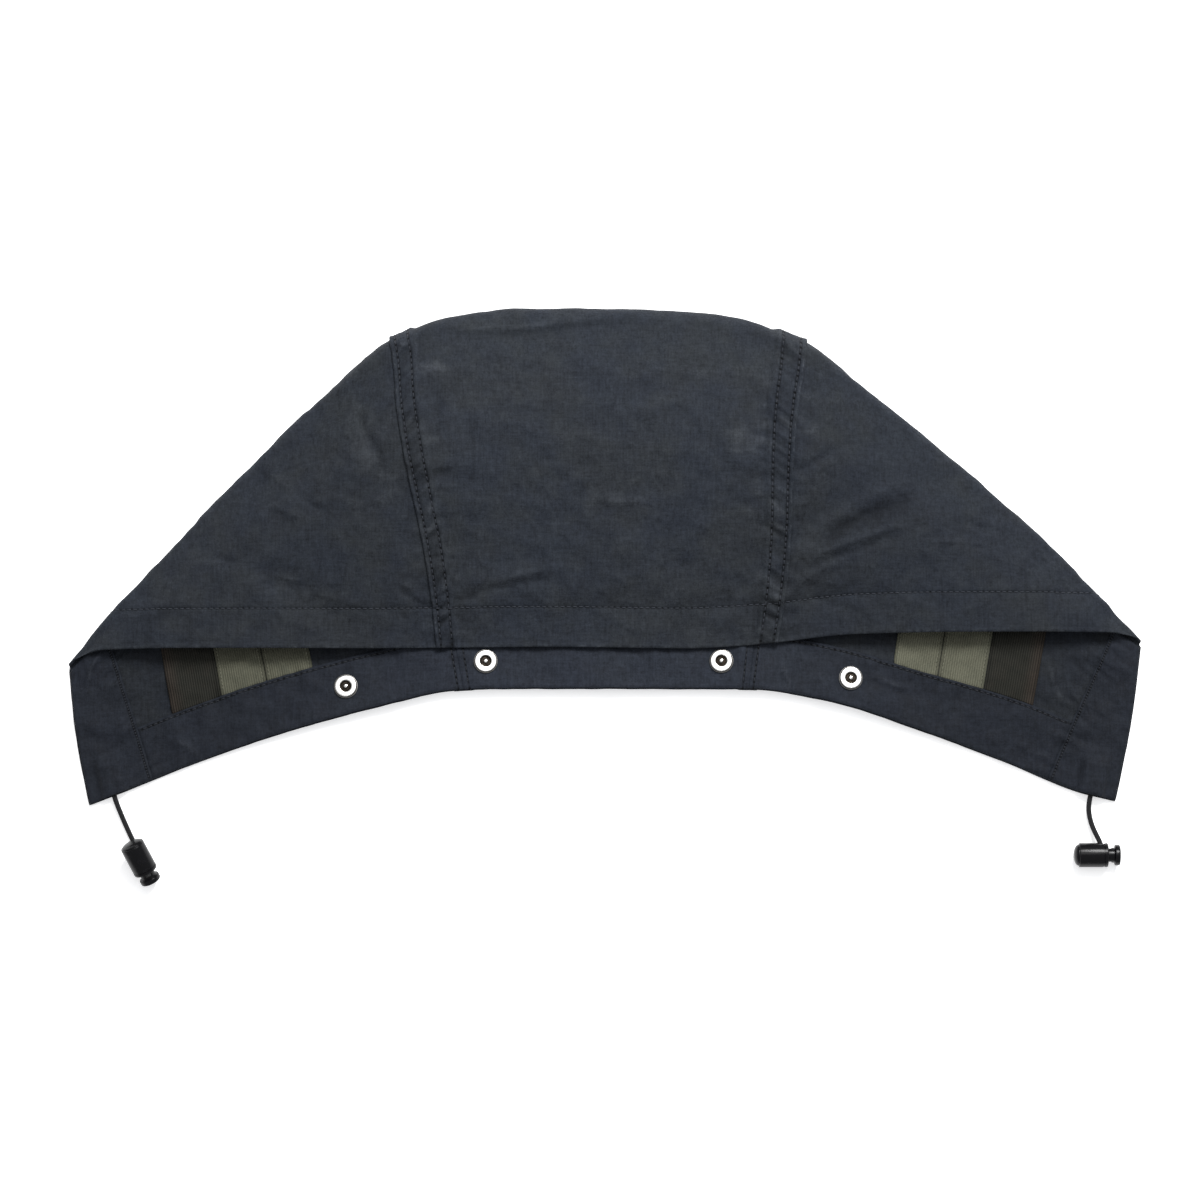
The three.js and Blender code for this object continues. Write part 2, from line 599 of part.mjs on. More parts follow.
function tube(points, diameter) {
  const curve = new THREE.CatmullRomCurve3(points.map((p) => new THREE.Vector3(...p)), false, 'centripetal');
  const outline = new THREE.Shape();
  for (let i = 0; i <= cordSides; i += 1) {
    const angle = (2 * Math.PI * i) / cordSides;
    const [x, y] = [Math.cos(angle) * diameter / 2, Math.sin(angle) * diameter / 2];
    if (i === 0) outline.moveTo(x, y);
    else outline.lineTo(x, y);
  }
  const steps = Math.round(curve.getLength() / cordStep);
  const body = new THREE.ExtrudeGeometry(outline, { steps, bevelEnabled: false, extrudePath: curve });
  body.deleteAttribute('normal');
  body.deleteAttribute('uv');
  return facingOut(mergeVertices(body, 1e-4));
}

// Cord locks are modelled along +X with the barrel's rim at the origin and the button beyond it.
function alongX(profile, sides) {
  const body = turned(profile, sides);
  return body.rotateY(Math.PI / 2);
}

function barrelBody() {
  const outer = barrel.outer / 2;
  const bore = button.neck / 2 + lockClearance;
  const back = -barrel.length;
  const floor = back + barrel.endWall;
  const round = barrel.rounding;
  const shell = alongX([
    [0, back], [outer - round, back], [outer - round * 0.3, back + round * 0.3],
    [outer, back + round], [outer, -barrel.rimChamfer], [outer - barrel.rimChamfer, 0], [bore, 0],
    [bore, floor], [0, floor],
  ], 16);
  const hole = new THREE.CylinderGeometry(cordHole.across / 2, cordHole.across / 2, barrel.outer * 1.2, 12);
  hole.translate(-cordHole.fromRim, 0, 0);
  return { shell, hole };
}

function buttonBody() {
  const neck = button.neck / 2;
  const flange = button.flange / 2;
  const end = button.showing;
  const under = end - button.flangeHeight;
  const chamfer = button.chamfer;
  const plunger = alongX([
    [0, -button.plunge], [neck, -button.plunge], [neck, under], [flange - chamfer, under],
    [flange, under + chamfer], [flange, end - chamfer], [flange - chamfer, end], [0, end],
  ], 16);
  const slotLength = cordHole.across + buttonTravel;
  const slot = new THREE.BoxGeometry(slotLength, barrel.outer * 1.2, cordHole.slotHeight);
  slot.translate(-cordHole.fromRim + buttonTravel / 2, 0, 0);
  return { plunger, slot };
}

function addDrawcords() {
  const { shell, hole } = barrelBody();
  const { plunger, slot } = buttonBody();
  for (const { side, place, heading, tilt, points } of drawcords) {
    addPiece(hood, `drawcord_${side}`, tube(points, cordDiameter), cordColour, tapeRoughness);
    // On the left the cord comes up from below, on the right it comes in from the side.
    const quarter = side === 'left' ? Math.PI / 2 : 0;
    const lock = new THREE.Group();
    lock.position.set(...place);
    lock.rotation.order = 'ZYX';
    lock.rotation.set(0, THREE.MathUtils.degToRad(-tilt), THREE.MathUtils.degToRad(heading));
    hood.add(lock);
    const body = toSolid(shell).subtract(toSolid(hole.clone()));
    const pusher = toSolid(plunger).subtract(toSolid(slot.clone()));
    for (const [name, solid] of [['barrel', body], ['button', pusher]]) {
      const turnedPiece = toGeometry(solid).rotateX(quarter);
      addPiece(lock, `cord_lock_${name}_${side}`, turnedPiece, lockColour, plasticRoughness);
    }
  }
}

addShell();
addFacings();
addTapes();
addSnaps();
addDrawcords();

export default hood;
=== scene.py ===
import math
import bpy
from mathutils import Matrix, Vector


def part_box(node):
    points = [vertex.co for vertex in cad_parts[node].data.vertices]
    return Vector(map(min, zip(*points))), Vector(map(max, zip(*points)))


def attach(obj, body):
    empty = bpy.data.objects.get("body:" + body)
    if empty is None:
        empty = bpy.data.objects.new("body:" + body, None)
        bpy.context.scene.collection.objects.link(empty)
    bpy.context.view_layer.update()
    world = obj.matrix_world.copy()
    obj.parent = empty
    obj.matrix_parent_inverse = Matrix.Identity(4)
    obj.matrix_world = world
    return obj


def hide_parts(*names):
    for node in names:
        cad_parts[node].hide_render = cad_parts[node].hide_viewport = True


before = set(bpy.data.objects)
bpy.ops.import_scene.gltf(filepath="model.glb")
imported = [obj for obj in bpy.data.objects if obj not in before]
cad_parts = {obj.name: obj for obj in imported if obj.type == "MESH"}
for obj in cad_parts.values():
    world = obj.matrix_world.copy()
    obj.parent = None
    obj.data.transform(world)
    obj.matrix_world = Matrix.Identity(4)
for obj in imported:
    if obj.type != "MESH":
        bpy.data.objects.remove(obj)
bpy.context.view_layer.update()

from types import SimpleNamespace

import bpy
import numpy as np
from mathutils import Matrix, Vector

bl_info = {
    "name": "Detachable Hood",
    "version": (1, 0),
    "blender": (4, 5, 0),
    "location": "View3D > Sidebar > Hood",
    "description": "Builds a three-panel cloth hood that lies flat, with snaps, tapes and cord locks",
    "category": "Add Mesh",
}

MM = 0.001

# Sizes of the cloth body in millimetres. Its width and depth come from the panels in model.glb.
HALF_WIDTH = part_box("side_panel_right")[1].x / MM
CROWN_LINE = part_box("center_panel")[1].y / MM
HOOD_DEPTH = 2 * CROWN_LINE
CLOTH_WALL = 1.2
FACING_WALL = 1.0
CLOTH_GAP = 0.3
LOFT_HEIGHT = 10
FOLD_HEIGHT = 16
HEM_HEIGHT = 13.5
HEM_DROOP = 3.4
DROOP_REACH = 34
SNAP_LIFT = 2.4
LIFT_REACH = 55
FREE_EDGE_BOW = 1.3
SEAM_SWAY = 1.4
SEAM_LAP = 9
SEAM_DROP = 2.2
HEM_DEPTH = 19
NECK_DEPTH = 26
NECK_GROWTH = 4.5
SNAP_INSET = 13

# Shares. TUNNEL_SHARE is of a side panel. TAPE_TOP, TUNNEL_TOP and NECK_TOPS, the neck facing's height
# beside each tunnel, are of the lower layer's length. LEAST_HEM_START and TURN_LIMIT are of the upper
# layer's, and CENTRE_SHARE of the hood's width. LEAST_SLANT is the least slant of the cloth to its fold.
TUNNEL_SHARE = 0.15
TAPE_TOP = 0.8
TUNNEL_TOP = 0.97
NECK_TOPS = {"left": 0.33, "right": 0.36}
LEAST_HEM_START = 0.42
TURN_LIMIT = 0.62
CENTRE_SHARE = 0.31
LEAST_SLANT = 0.6

# How far a facing stays inside the shell's edge, in millimetres, and a tunnel's facing inside the free
# edge and past its own row of stitches, in panels.
FACING_INSET = 0.4
TUNNEL_INSET = 0.004
PAST_ROW = 0.007

# Depths inside the shell's outer side.
FACING_OUT = CLOTH_WALL + CLOTH_GAP
FACING_IN = FACING_OUT + FACING_WALL
LAP_RAISE = CLOTH_WALL + CLOTH_GAP

# Rows of stitches, in millimetres from the edge that each row follows, and the fine line that shows
# where the hem's edge is turned in. Half a stitch is a share of the pitch.
SEAM_ROWS = (2.0, 8.0)
HEM_ROW = 18.6
HEM_LINE = 1.8
NECK_ROW_INSIDE = 1.4
HALF_STITCH = 0.36

# The tunnel's row of stitches in panels from the free edge, at the neck edge, and how much nearer it
# comes to the free edge at the fold.
TUNNEL_ROWS = {"left": (0.174, 0.050), "right": (0.178, 0.098)}

# Lines of the cloth from the neck edge over the fold to the hem. at counts panels from the left.
LINE_COLUMNS = (
    "at", "neck_across", "neck_down", "fold_across", "fold_down", "hem_across", "hem_down",
    "fold", "hem", "loft", "lift",
)
LINES = np.array([
    (0.00, -0.958, 1.000, -1.000, 0.717, -0.981, 0.706, 0.36, 0.46, 0.00, 0.00),
    (0.10, -0.896, 0.974, -0.951, 0.649, -0.936, 0.689, 0.40, 0.66, 0.05, 0.00),
    (0.30, -0.759, 0.915, -0.827, 0.505, -0.794, 0.685, 0.47, 0.92, 0.20, 0.08),
    (0.55, -0.588, 0.853, -0.682, 0.340, -0.623, 0.685, 0.58, 1.00, 0.45, 0.74),
    (0.80, -0.415, 0.803, -0.529, 0.178, -0.449, 0.685, 0.76, 0.92, 0.72, 1.02),
    (1.00, -0.280, 0.771, -0.399, 0.062, -0.312, 0.684, 0.94, 0.88, 0.90, 0.70),
    (1.14, -0.202, 0.768, -0.308, 0.022, -0.233, 0.683, 0.98, 0.86, 0.96, 0.78),
    (1.33, -0.093, 0.768, -0.168, 0.000, -0.112, 0.682, 1.00, 0.85, 1.00, 0.92),
    (1.50, 0.002, 0.768, 0.000, 0.000, 0.006, 0.683, 1.00, 0.85, 1.00, 0.95),
    (1.72, 0.140, 0.768, 0.159, 0.006, 0.148, 0.685, 1.00, 0.85, 0.98, 0.92),
    (1.87, 0.215, 0.768, 0.261, 0.022, 0.237, 0.681, 0.98, 0.86, 0.94, 0.78),
    (2.00, 0.282, 0.769, 0.374, 0.067, 0.321, 0.673, 0.94, 0.89, 0.86, 0.70),
    (2.20, 0.419, 0.794, 0.500, 0.173, 0.458, 0.657, 0.77, 0.93, 0.70, 1.02),
    (2.45, 0.580, 0.849, 0.663, 0.317, 0.625, 0.653, 0.59, 1.00, 0.44, 0.68),
    (2.70, 0.747, 0.915, 0.822, 0.469, 0.796, 0.652, 0.48, 0.92, 0.20, 0.08),
    (2.90, 0.881, 0.974, 0.947, 0.608, 0.932, 0.653, 0.40, 0.66, 0.05, 0.00),
    (3.00, 0.948, 0.992, 1.000, 0.669, 0.981, 0.662, 0.36, 0.46, 0.00, 0.00),
])

# Soft folds of the upper layer: across and down as in the lines, run and width as shares of the
# hood's depth, turn in degrees, depth as a share of the loft.
FOLDS = (
    (-0.56, 0.58, 0.16, 0.035, -32, 0.16),
    (-0.35, 0.40, 0.12, 0.030, -50, 0.12),
    (0.42, 0.41, 0.13, 0.030, 32, 0.18),
    (0.46, 0.57, 0.13, 0.030, 24, 0.16),
    (0.00, 0.62, 0.26, 0.030, 4, 0.12),
)

# Creases of the upper layer in millimetres: start, middle, end, half width and height.
# A height below zero is a valley.
CREASES = (
    ((-163, 42), (-156, 36), (-150, 31), 1.6, 0.5),
    ((-145, 28), (-138, 22), (-131, 19), 1.7, -0.5),
    ((-160, 24), (-151, 20), (-143, 17), 1.5, 0.45),
    ((-118, 67), (-113, 56), (-107, 46), 2.0, -0.55),
    ((-158, -10), (-152, -11), (-145, -13), 1.4, 0.35),
    ((-98, -17), (-91, -22), (-83, -25), 1.4, -0.5),
    ((-100, -12), (-94, -15), (-87, -22), 1.3, 0.35),
    ((-78, -18), (-74, -20), (-70, -21), 1.2, -0.4),
    ((-71, 107.5), (-38, 108.5), (13, 115), 1.8, 0.6),
    ((-70, 104), (-40, 104.5), (-10, 108), 2.6, -0.45),
    ((-92, 90), (-84, 88.5), (-76, 88), 1.8, 0.5),
    ((-80.4, 78), (-79.6, 71), (-79.8, 63), 1.5, -0.6),
    ((-66, -19), (-42, -14.5), (-21, -10), 2.6, -0.6),
    ((-64, -15), (-42, -10.5), (-22, -6.5), 2.8, 0.45),
    ((-84, 39), (-78, 38), (-71, 40), 1.3, -0.45),
    ((-82, 33), (-77, 32), (-71, 31), 1.2, 0.35),
    ((-81, 17.5), (-76, 17), (-70, 18), 1.3, -0.4),
    ((-80, 1), (-74, 0.5), (-68, -1), 1.3, 0.35),
    ((-76, -21), (-70, -22), (-62, -20), 1.4, -0.4),
    ((-2, 25), (12, 24.5), (28, 26), 1.8, 0.35),
    ((82, 44), (77, 43), (71, 45), 1.3, -0.4),
    ((82, 28), (76, 28.5), (70, 27), 1.3, 0.35),
    ((83, 13.5), (78, 13), (72, 15), 1.3, -0.4),
    ((93, 39), (102, 45), (117, 54.5), 1.9, -0.6),
    ((94, 35), (103, 41), (117, 50), 2.0, 0.35),
    ((94, 56), (98, 58), (103, 61), 1.4, 0.4),
    ((97, -3), (111, 4), (138, 13), 1.7, 0.75),
    ((99, -7), (112, -0.5), (137, 8.5), 2.4, -0.55),
    ((103, 6), (121, 17), (147, 27), 4.2, -0.85),
    ((102, 12), (119, 24), (143, 34), 3.4, 0.45),
    ((87, -18.5), (96, -11), (111, -2.5), 1.7, 0.5),
    ((90, -22), (99, -15), (112, -7), 1.9, -0.4),
    ((150, 5.5), (165, 6.5), (180, 5), 1.5, 0.35),
    ((172, 16), (177, 14), (183, 12), 1.4, -0.35),
    ((96, -19), (108, -24), (122, -27), 1.8, -0.35),
    ((-190, 2), (-180, -3), (-168, -5), 1.6, -0.35),
    ((-120, 22), (-108, 25), (-96, 33), 2.2, 0.35),
    ((30, 88), (44, 84), (56, 86), 2.4, 0.35),
    ((12, 66), (22, 58), (26, 46), 2.6, -0.3),
    ((-46, 64), (-34, 58), (-26, 50), 2.4, 0.3),
)

# Creases of the lower layer, seen on its inner side. Heights point into the hood.
INNER_CREASES = (
    ((126, -57), (136, -61), (147, -65), 1.4, 0.5),
    ((127, -61), (137, -65), (146, -68), 1.8, -0.25),
    ((213, -52), (215, -60), (219, -71), 1.7, 0.6),
    ((222, -62), (227, -70), (228, -80), 1.5, 0.45),
    ((-248, -64), (-246, -54), (-241, -45), 1.6, 0.6),
    ((-243, -66), (-238, -62), (-230, -61), 1.5, 0.4),
    ((-205, -88), (-198, -92), (-192, -99), 1.6, 0.45),
    ((196, -88), (202, -93), (212, -96), 1.6, 0.4),
    ((84, -52), (88, -60), (87, -68), 1.5, 0.4),
    ((-150, -74), (-143, -77), (-134, -78), 1.5, 0.35),
    ((-213, -72), (-206, -76), (-198, -75), 1.6, -0.6),
    ((168, -46), (162, -58), (154, -70), 2.4, -0.5),
    ((206, -70), (216, -74), (226, -79), 1.8, -0.45),
)

# Paler places, and darker places of painted shade along the folds, on the upper layer in millimetres:
# middle, reach along and aside, turn in degrees, and strength, which is below zero where the cloth is
# darker with painted shade.
PALE_AND_SHADED_PLACES = (
    (-113, 52, 26, 9, -72, 0.55),
    (67, 53, 20, 12, 15, 0.50),
    (-84, 89, 9, 6, 0, 0.60),
    (0, 26, 40, 14, 2, 0.25),
    (120, 12, 26, 8, 30, -0.55),
    (-150, -20, 30, 10, 0, 0.20),
    (170, -8, 30, 12, 0, 0.22),
    (-215, -32, 22, 10, 0, -0.45),
)

# How many times their listed heights the creases stand out.
CREASE_DEPTH = 2.1

# Small waves of the two layers in millimetres: height, width, length, seed, and how far they are
# lifted, as a share of the height.
UPPER_WAVES = ((0.60, 40, 30, 1, 0), (0.42, 18, 14, 2, 0), (0.22, 8, 6.5, 3, 0))
LOWER_WAVES = ((0.60, 34, 26, 21, 0.4), (0.75, 14, 11, 22, 0.3), (0.34, 7, 6, 27, 0.3))

# Puckers that a row of stitches draws in millimetres: height, length along the row and across it,
# seed, middle and reach beside the edge that the row follows.
PUCKERS = {
    "centre panel": (0.85, 6.5, 30, 9, 9, 12),
    "side panel": (0.75, 6.0, 18, 10, 0, 11),
    "hem": (0.24, 5.5, 14, 11, HEM_ROW, 6),
    "tunnel": (1.05, 6, 15, 23, 0, 9),
    "neck": (0.95, 6, 16, 24, 0, 9),
}

# Each snap's at.
SNAPS = (0.718, 1.117, 1.868, 2.246)

# Woven tapes of the left side, which the right side mirrors: name, from and to. The shades are painted
# shade: the share of its colour that a tape keeps inside the hood.
TAPES = (("brown", 0.26, 0.39), ("olive_outer", 0.396, 0.515), ("olive_inner", 0.521, 0.64))
OLIVE_SHADES = {"left": 0.72, "right": 0.90}
BROWN_SHADE = 1.0

# The drawcord's two ends and how their locks lie, in millimetres and degrees. place is the middle of
# the barrel's rim. heading and tilt aim its button, and quarter turns it about its own length. enters
# is the side where the cord comes in, dome the height of the barrel's closed end, and length the
# cord's own, in metres.
DRAWCORDS = {
    "left": SimpleNamespace(
        at=0.077, place=(-218.7, -150.6, 7.00), heading=-63.8, tilt=-24, quarter=90, enters=-1,
        dome=1.1, length=0.051,
        points=(
            (-236.4, -103.5, 3.15), (-235.6, -107.9, 3.15), (-234.9, -111.9, 3.15), (-234.2, -115.5, 3.05),
            (-232.9, -119.3, 2.70), (-231.4, -123.1, 2.20), (-229.9, -126.7, 1.75), (-228.4, -130.1, 1.45),
            (-226.8, -133.6, 1.30), (-225.2, -136.9, 1.25), (-223.8, -139.9, 1.25), (-222.6, -142.4, 1.40),
            (-221.7, -144.3, 2.10), (-221.1, -145.6, 3.30), (-220.7, -146.5, 4.80), (-220.4, -147.2, 6.30),
        ),
    ),
    "right": SimpleNamespace(
        at=2.931, place=(239.6, -143.0, 5.85), heading=0, tilt=0, quarter=0, enters=1,
        dome=2.4, length=0.041,
        points=(
            (233.8, -103.2, 3.15), (233.1, -107.3, 3.15), (232.4, -111.3, 3.15), (231.8, -115.0, 3.05),
            (231.3, -117.9, 2.85), (231.1, -120.7, 2.70), (231.3, -123.5, 2.65), (231.8, -126.1, 2.75),
            (232.5, -128.6, 3.05), (233.4, -131.0, 3.55), (234.4, -133.3, 4.20), (235.4, -135.5, 4.90),
            (236.2, -137.7, 5.50), (236.6, -139.7, 5.80), (236.8, -141.5, 5.90),
        ),
    ),
}
CORD_DIAMETER = 2.4

# Number of the point where a cord leaves its tunnel. The tunnel's facing rises over the cord there: in
# full as far in as inset and as far aside as plateau, and less and less as far aside as ramp.
TUNNEL_MOUTH = SimpleNamespace(inset=14, plateau=4, ramp=8)

# A distance to give where the edge or row that is asked for is nowhere near.
FAR_AWAY = 99.0


def paint(red, green, blue):
    """A display colour of 0 to 255 as the linear colour that Blender's sockets take."""
    shares = (value / 255 for value in (red, green, blue))
    return tuple(
        share / 12.92 if share <= 0.04045 else ((share + 0.055) / 1.055) ** 2.4 for share in shares
    )


def smooth(x):
    """Smooth step from 0 to 1 as x runs from 0 to 1."""
    u = np.clip(x, 0, 1)
    return u * u * (3 - 2 * u)


def bell(x):
    """1 where x is 0, falling to nothing on both sides."""
    return np.exp(-(x**2))


def turned_about(x, y, middle_x, middle_y, turn):
    """Distances from a middle, along a direction that is turned by so many degrees and aside of it."""
    angle = math.radians(turn)
    dx, dy = x - middle_x, y - middle_y
    return dx * math.cos(angle) + dy * math.sin(angle), -dx * math.sin(angle) + dy * math.cos(angle)


def unit(vectors):
    """Vectors of length 1 in the same directions."""
    return vectors / np.maximum(np.linalg.norm(vectors, axis=-1, keepdims=True), 1e-9)


# Surface of the cloth.

def column(name, at):
    """Smooth curve through one column of the lines, without overshoot."""
    knots = LINES[:, 0]
    values = LINES[:, LINE_COLUMNS.index(name)]
    slopes = np.diff(values) / np.diff(knots)
    before, after = slopes[:-1], slopes[1:]
    same_way = before * after > 0
    inner = np.where(same_way, 2 * before * after / np.where(same_way, before + after, 1), 0)
    tangents = np.concatenate(([slopes[0]], inner, [slopes[-1]]))
    i = np.clip(np.searchsorted(knots, at, side="right") - 1, 0, len(knots) - 2)
    span = knots[i + 1] - knots[i]
    u = (at - knots[i]) / span
    rise = values[i + 1] - values[i]
    p = tangents[i] * span
    q = tangents[i + 1] * span
    return values[i] + p * u + (3 * rise - 2 * p - q) * u**2 + (p + q - 2 * rise) * u**3


def plan_point(kind, at):
    """Where a line meets the neck edge, the fold or the hem, seen from above."""
    across = HALF_WIDTH * column(kind + "_across", at)
    down = CROWN_LINE - HOOD_DEPTH * column(kind + "_down", at)
    return np.stack([across, down], axis=-1)


def seam_bump(at):
    """A bump that is 1 on the nearer lapped seam and dies out beside it."""
    panel = 2 * HALF_WIDTH * CENTRE_SHARE
    half_lap = SEAM_LAP / panel / 2
    left = np.abs(at - 1 - half_lap)
    right = np.abs(at - 2 + half_lap)
    away = np.maximum(0, np.minimum(left, right) * panel - SEAM_LAP * 0.7)
    return bell(away / (1.8 * SEAM_LAP))


def section(at):
    """Everything that one line of the cloth needs."""
    at = np.asarray(at, float)
    neck, fold, hem = (plan_point(kind, at) for kind in ("neck", "fold", "hem"))
    along = plan_point("fold", np.minimum(3, at + 0.01)) - plan_point("fold", np.maximum(0, at - 0.01))
    fold_normal = unit(np.stack([along[..., 1], -along[..., 0]], axis=-1))
    lower_way, upper_way = neck - fold, hem - fold
    lower_length = np.linalg.norm(lower_way, axis=-1)
    upper_length = np.linalg.norm(upper_way, axis=-1)
    lower_way, upper_way = unit(lower_way), unit(upper_way)
    slant = np.maximum(LEAST_SLANT, np.abs((fold_normal * lower_way).sum(axis=-1)))
    radius = FOLD_HEIGHT * column("fold", at) / 2
    turn_reach = np.minimum(radius / slant, upper_length * TURN_LIMIT)
    return SimpleNamespace(
        at=at, fold=fold, lower_way=lower_way, upper_way=upper_way,
        lower_length=lower_length, upper_length=upper_length, radius=radius, turn_reach=turn_reach,
        base=(CLOTH_WALL + CLOTH_GAP) * seam_bump(at), lift=SNAP_LIFT * column("lift", at),
        loft=LOFT_HEIGHT * column("loft", at), hem_top=HEM_HEIGHT * column("hem", at),
        reach=lower_length - turn_reach, flat=upper_length - turn_reach,
    )


def fold_depth(x, y):
    """How deep the soft folds lie below the upper layer."""
    sink = 0
    for across, down, run, width, turn, depth in FOLDS:
        place = across * HALF_WIDTH, CROWN_LINE - down * HOOD_DEPTH
        along, aside = turned_about(x, y, *place, turn)
        along, aside = along / (run * HOOD_DEPTH), aside / (width * HOOD_DEPTH)
        sink = sink + depth * LOFT_HEIGHT * np.exp(-(along**2) - aside**2)
    return sink


def lower_point(line, distance):
    """Lower layer, at a distance in from the neck edge."""
    at = line.at
    away = line.lower_length - distance
    share = np.maximum(0, 1 - distance / LIFT_REACH)
    bow = FREE_EDGE_BOW * np.sin(math.pi * distance / line.reach)
    left_edge = -np.maximum(0, 1 - at / TUNNEL_SHARE)
    right_edge = np.maximum(0, 1 - (3 - at) / TUNNEL_SHARE)
    x = line.fold[..., 0] + line.lower_way[..., 0] * away + bow * np.where(at < 1, left_edge, right_edge)
    y = line.fold[..., 1] + line.lower_way[..., 1] * away
    return np.stack([x, y, line.base + 2 * line.lift * share**2], axis=-1)


def turn_point(line, share):
    """Half turn of the fold, from the lower layer at share 0 to the upper one at 1."""
    angle = math.pi * share
    mix = smooth(share)[..., None]
    way = unit(line.lower_way * (1 - mix) + line.upper_way * mix)
    away = line.turn_reach * (1 - np.sin(angle))
    height = line.base + line.radius * (1 - np.cos(angle))
    x = line.fold[..., 0] + way[..., 0] * away
    y = line.fold[..., 1] + way[..., 1] * away
    return np.stack([x, y, height], axis=-1)


def upper_point(line, share):
    """Upper layer, from the fold's turn at share 0 to the face-opening hem at 1."""
    away = line.turn_reach + line.flat * share
    x = line.fold[..., 0] + line.upper_way[..., 0] * away
    y = line.fold[..., 1] + line.upper_way[..., 1] * away
    sway = -SEAM_SWAY * np.sin(2 * math.pi * share) * seam_bump(line.at) * smooth(share * 6)
    start = line.base + 2 * line.radius
    arch = np.sin(math.pi * share**0.75) ** 1.5
    middle = smooth((line.at - 0.45) / 0.55) * smooth((2.55 - line.at) / 0.55)
    droop = HEM_DROOP * middle * smooth((share * line.flat - line.flat + DROOP_REACH) / DROOP_REACH)
    level = start + (line.hem_top - start) * smooth(share) - droop
    ends = smooth(share * 6) * smooth((1 - share) * 6)
    fade = np.minimum(1, line.upper_length / HEM_DEPTH / 4) * ends
    height = level + line.loft * arch - fade * fold_depth(x, y)
    return np.stack([x + sway, y, height], axis=-1)


def base_point(at, v):
    """A point of the shell's outer side. v is 0 at the neck edge, 1 and 2 at the ends of the
    fold's turn and 3 at the face-opening hem."""
    line = section(at)
    lower = lower_point(line, np.clip(v, 0, 1) * line.reach)
    turn = turn_point(line, np.clip(v - 1, 0, 1))
    upper = upper_point(line, np.clip(v - 2, 0, 1))
    v = v[..., None]
    return np.where(v < 1, lower, np.where(v < 2, turn, upper))


def corner(at):
    """1 at the free edges, where the hem folds away, and 0 a few millimetres in."""
    return smooth(1 - np.minimum(at, 3 - at) / 0.07)


def base_normal(at, v):
    """Outward normal of the shell before it is crumpled."""
    step = 0.002
    across = base_point(np.minimum(3, at + step), v) - base_point(np.maximum(0, at - step), v)
    along = base_point(at, np.minimum(3, v + step)) - base_point(at, np.maximum(0, v - step))
    normal = unit(np.cross(along, across))
    level = (corner(at) * smooth(v - 1.6))[..., None]
    return unit(normal * (1 - level) + np.array([0, 0, 1]) * level)


# Nominal distances over the cloth, which place stitches, puckers and finishes.

HEM_ATS = np.linspace(0, 3, 601)
HEM_STEPS = np.linalg.norm(np.diff(plan_point("hem", HEM_ATS), axis=0), axis=1)
HEM_RUN = np.concatenate(([0], np.cumsum(HEM_STEPS)))
SEAM_LINE = section(1.0)
SEAM_STOPS = np.cumsum([0, SEAM_LINE.reach, math.pi * SEAM_LINE.radius, SEAM_LINE.flat])


def hem_width(start, end):
    """Straight distance between two places on the hem."""
    return float(np.linalg.norm(plan_point("hem", np.array(start)) - plan_point("hem", np.array(end))))


SIDE_WIDTH = hem_width(0.0, 1.0)
CENTRE_WIDTH = hem_width(1.0, 2.0)
LAP_SHARE = SEAM_LAP / CENTRE_WIDTH
DROP_SHARE = SEAM_DROP / CENTRE_WIDTH


def run_mm(v):
    """Distance from the neck edge, measured along a seam."""
    return np.interp(v, (0, 1, 2, 3), SEAM_STOPS)


def across_mm(at):
    """Distance from the left end, measured along the hem."""
    return np.interp(at, HEM_ATS, HEM_RUN)


def seam_mm(at):
    """Distance from the nearer lapped seam's outer edge, positive inside the centre panel."""
    return np.where(at < 1.5, at - 1, 2 - at) / LAP_SHARE * SEAM_LAP


def hem_mm(at, v):
    """Distance from the face-opening hem, over the upper layer and the fold's turn."""
    line = section(at)
    turn = line.flat + (2 - v) * math.pi * line.radius
    return np.where(v > 2, (3 - v) * line.flat, np.where(v > 1, turn, FAR_AWAY))


def from_hem(at, distance):
    """v at a distance from the face-opening hem."""
    line = section(at)
    past = (distance - line.flat) / (math.pi * line.radius)
    return np.where(distance < line.flat, 3 - distance / line.flat, 2 - np.clip(past, 0, 1))


def neck_mm(at, v):
    """Distance from the neck edge, over the lower layer."""
    return np.where(v < 1, v * section(at).reach, FAR_AWAY)


def neck_depth(at):
    """Depth of the neck facing, which grows towards the right."""
    return NECK_DEPTH + NECK_GROWTH * smooth((at - 2.3) / 0.5)


def neck_row_mm(at, v):
    """Distance past the neck facing's row of stitches."""
    return neck_mm(at, v) - neck_depth(at) + NECK_ROW_INSIDE


def tunnel_row(side, v):
    """Place of a tunnel's row of stitches, in panels from the free edge."""
    start, fall = TUNNEL_ROWS[side]
    return start - fall * v


def tunnel_mm(at, v):
    """Distance past the nearer tunnel's row of stitches, away from the free edge."""
    row = np.where(at < 1.5, tunnel_row("left", v), tunnel_row("right", v))
    return np.where(v < 1, (np.minimum(at, 3 - at) - row) * SIDE_WIDTH, FAR_AWAY)


def seam_band(seam):
    """1 between a lapped seam's two rows of stitches and 0 beside them."""
    return np.exp(-(((seam - 5.2) / 4.0) ** 4))


# Noise and creases.

def lattice(ix, iy, seed):
    """A repeatable angle for each lattice point."""
    n = (ix * 374761393 + iy * 668265263 + seed * 144269504) & 0xFFFFFFFF
    n = ((n ^ (n >> 13)) * 1274126177) & 0xFFFFFFFF
    return ((n ^ (n >> 16)) & 0xFFFF) / 65536 * 2 * math.pi


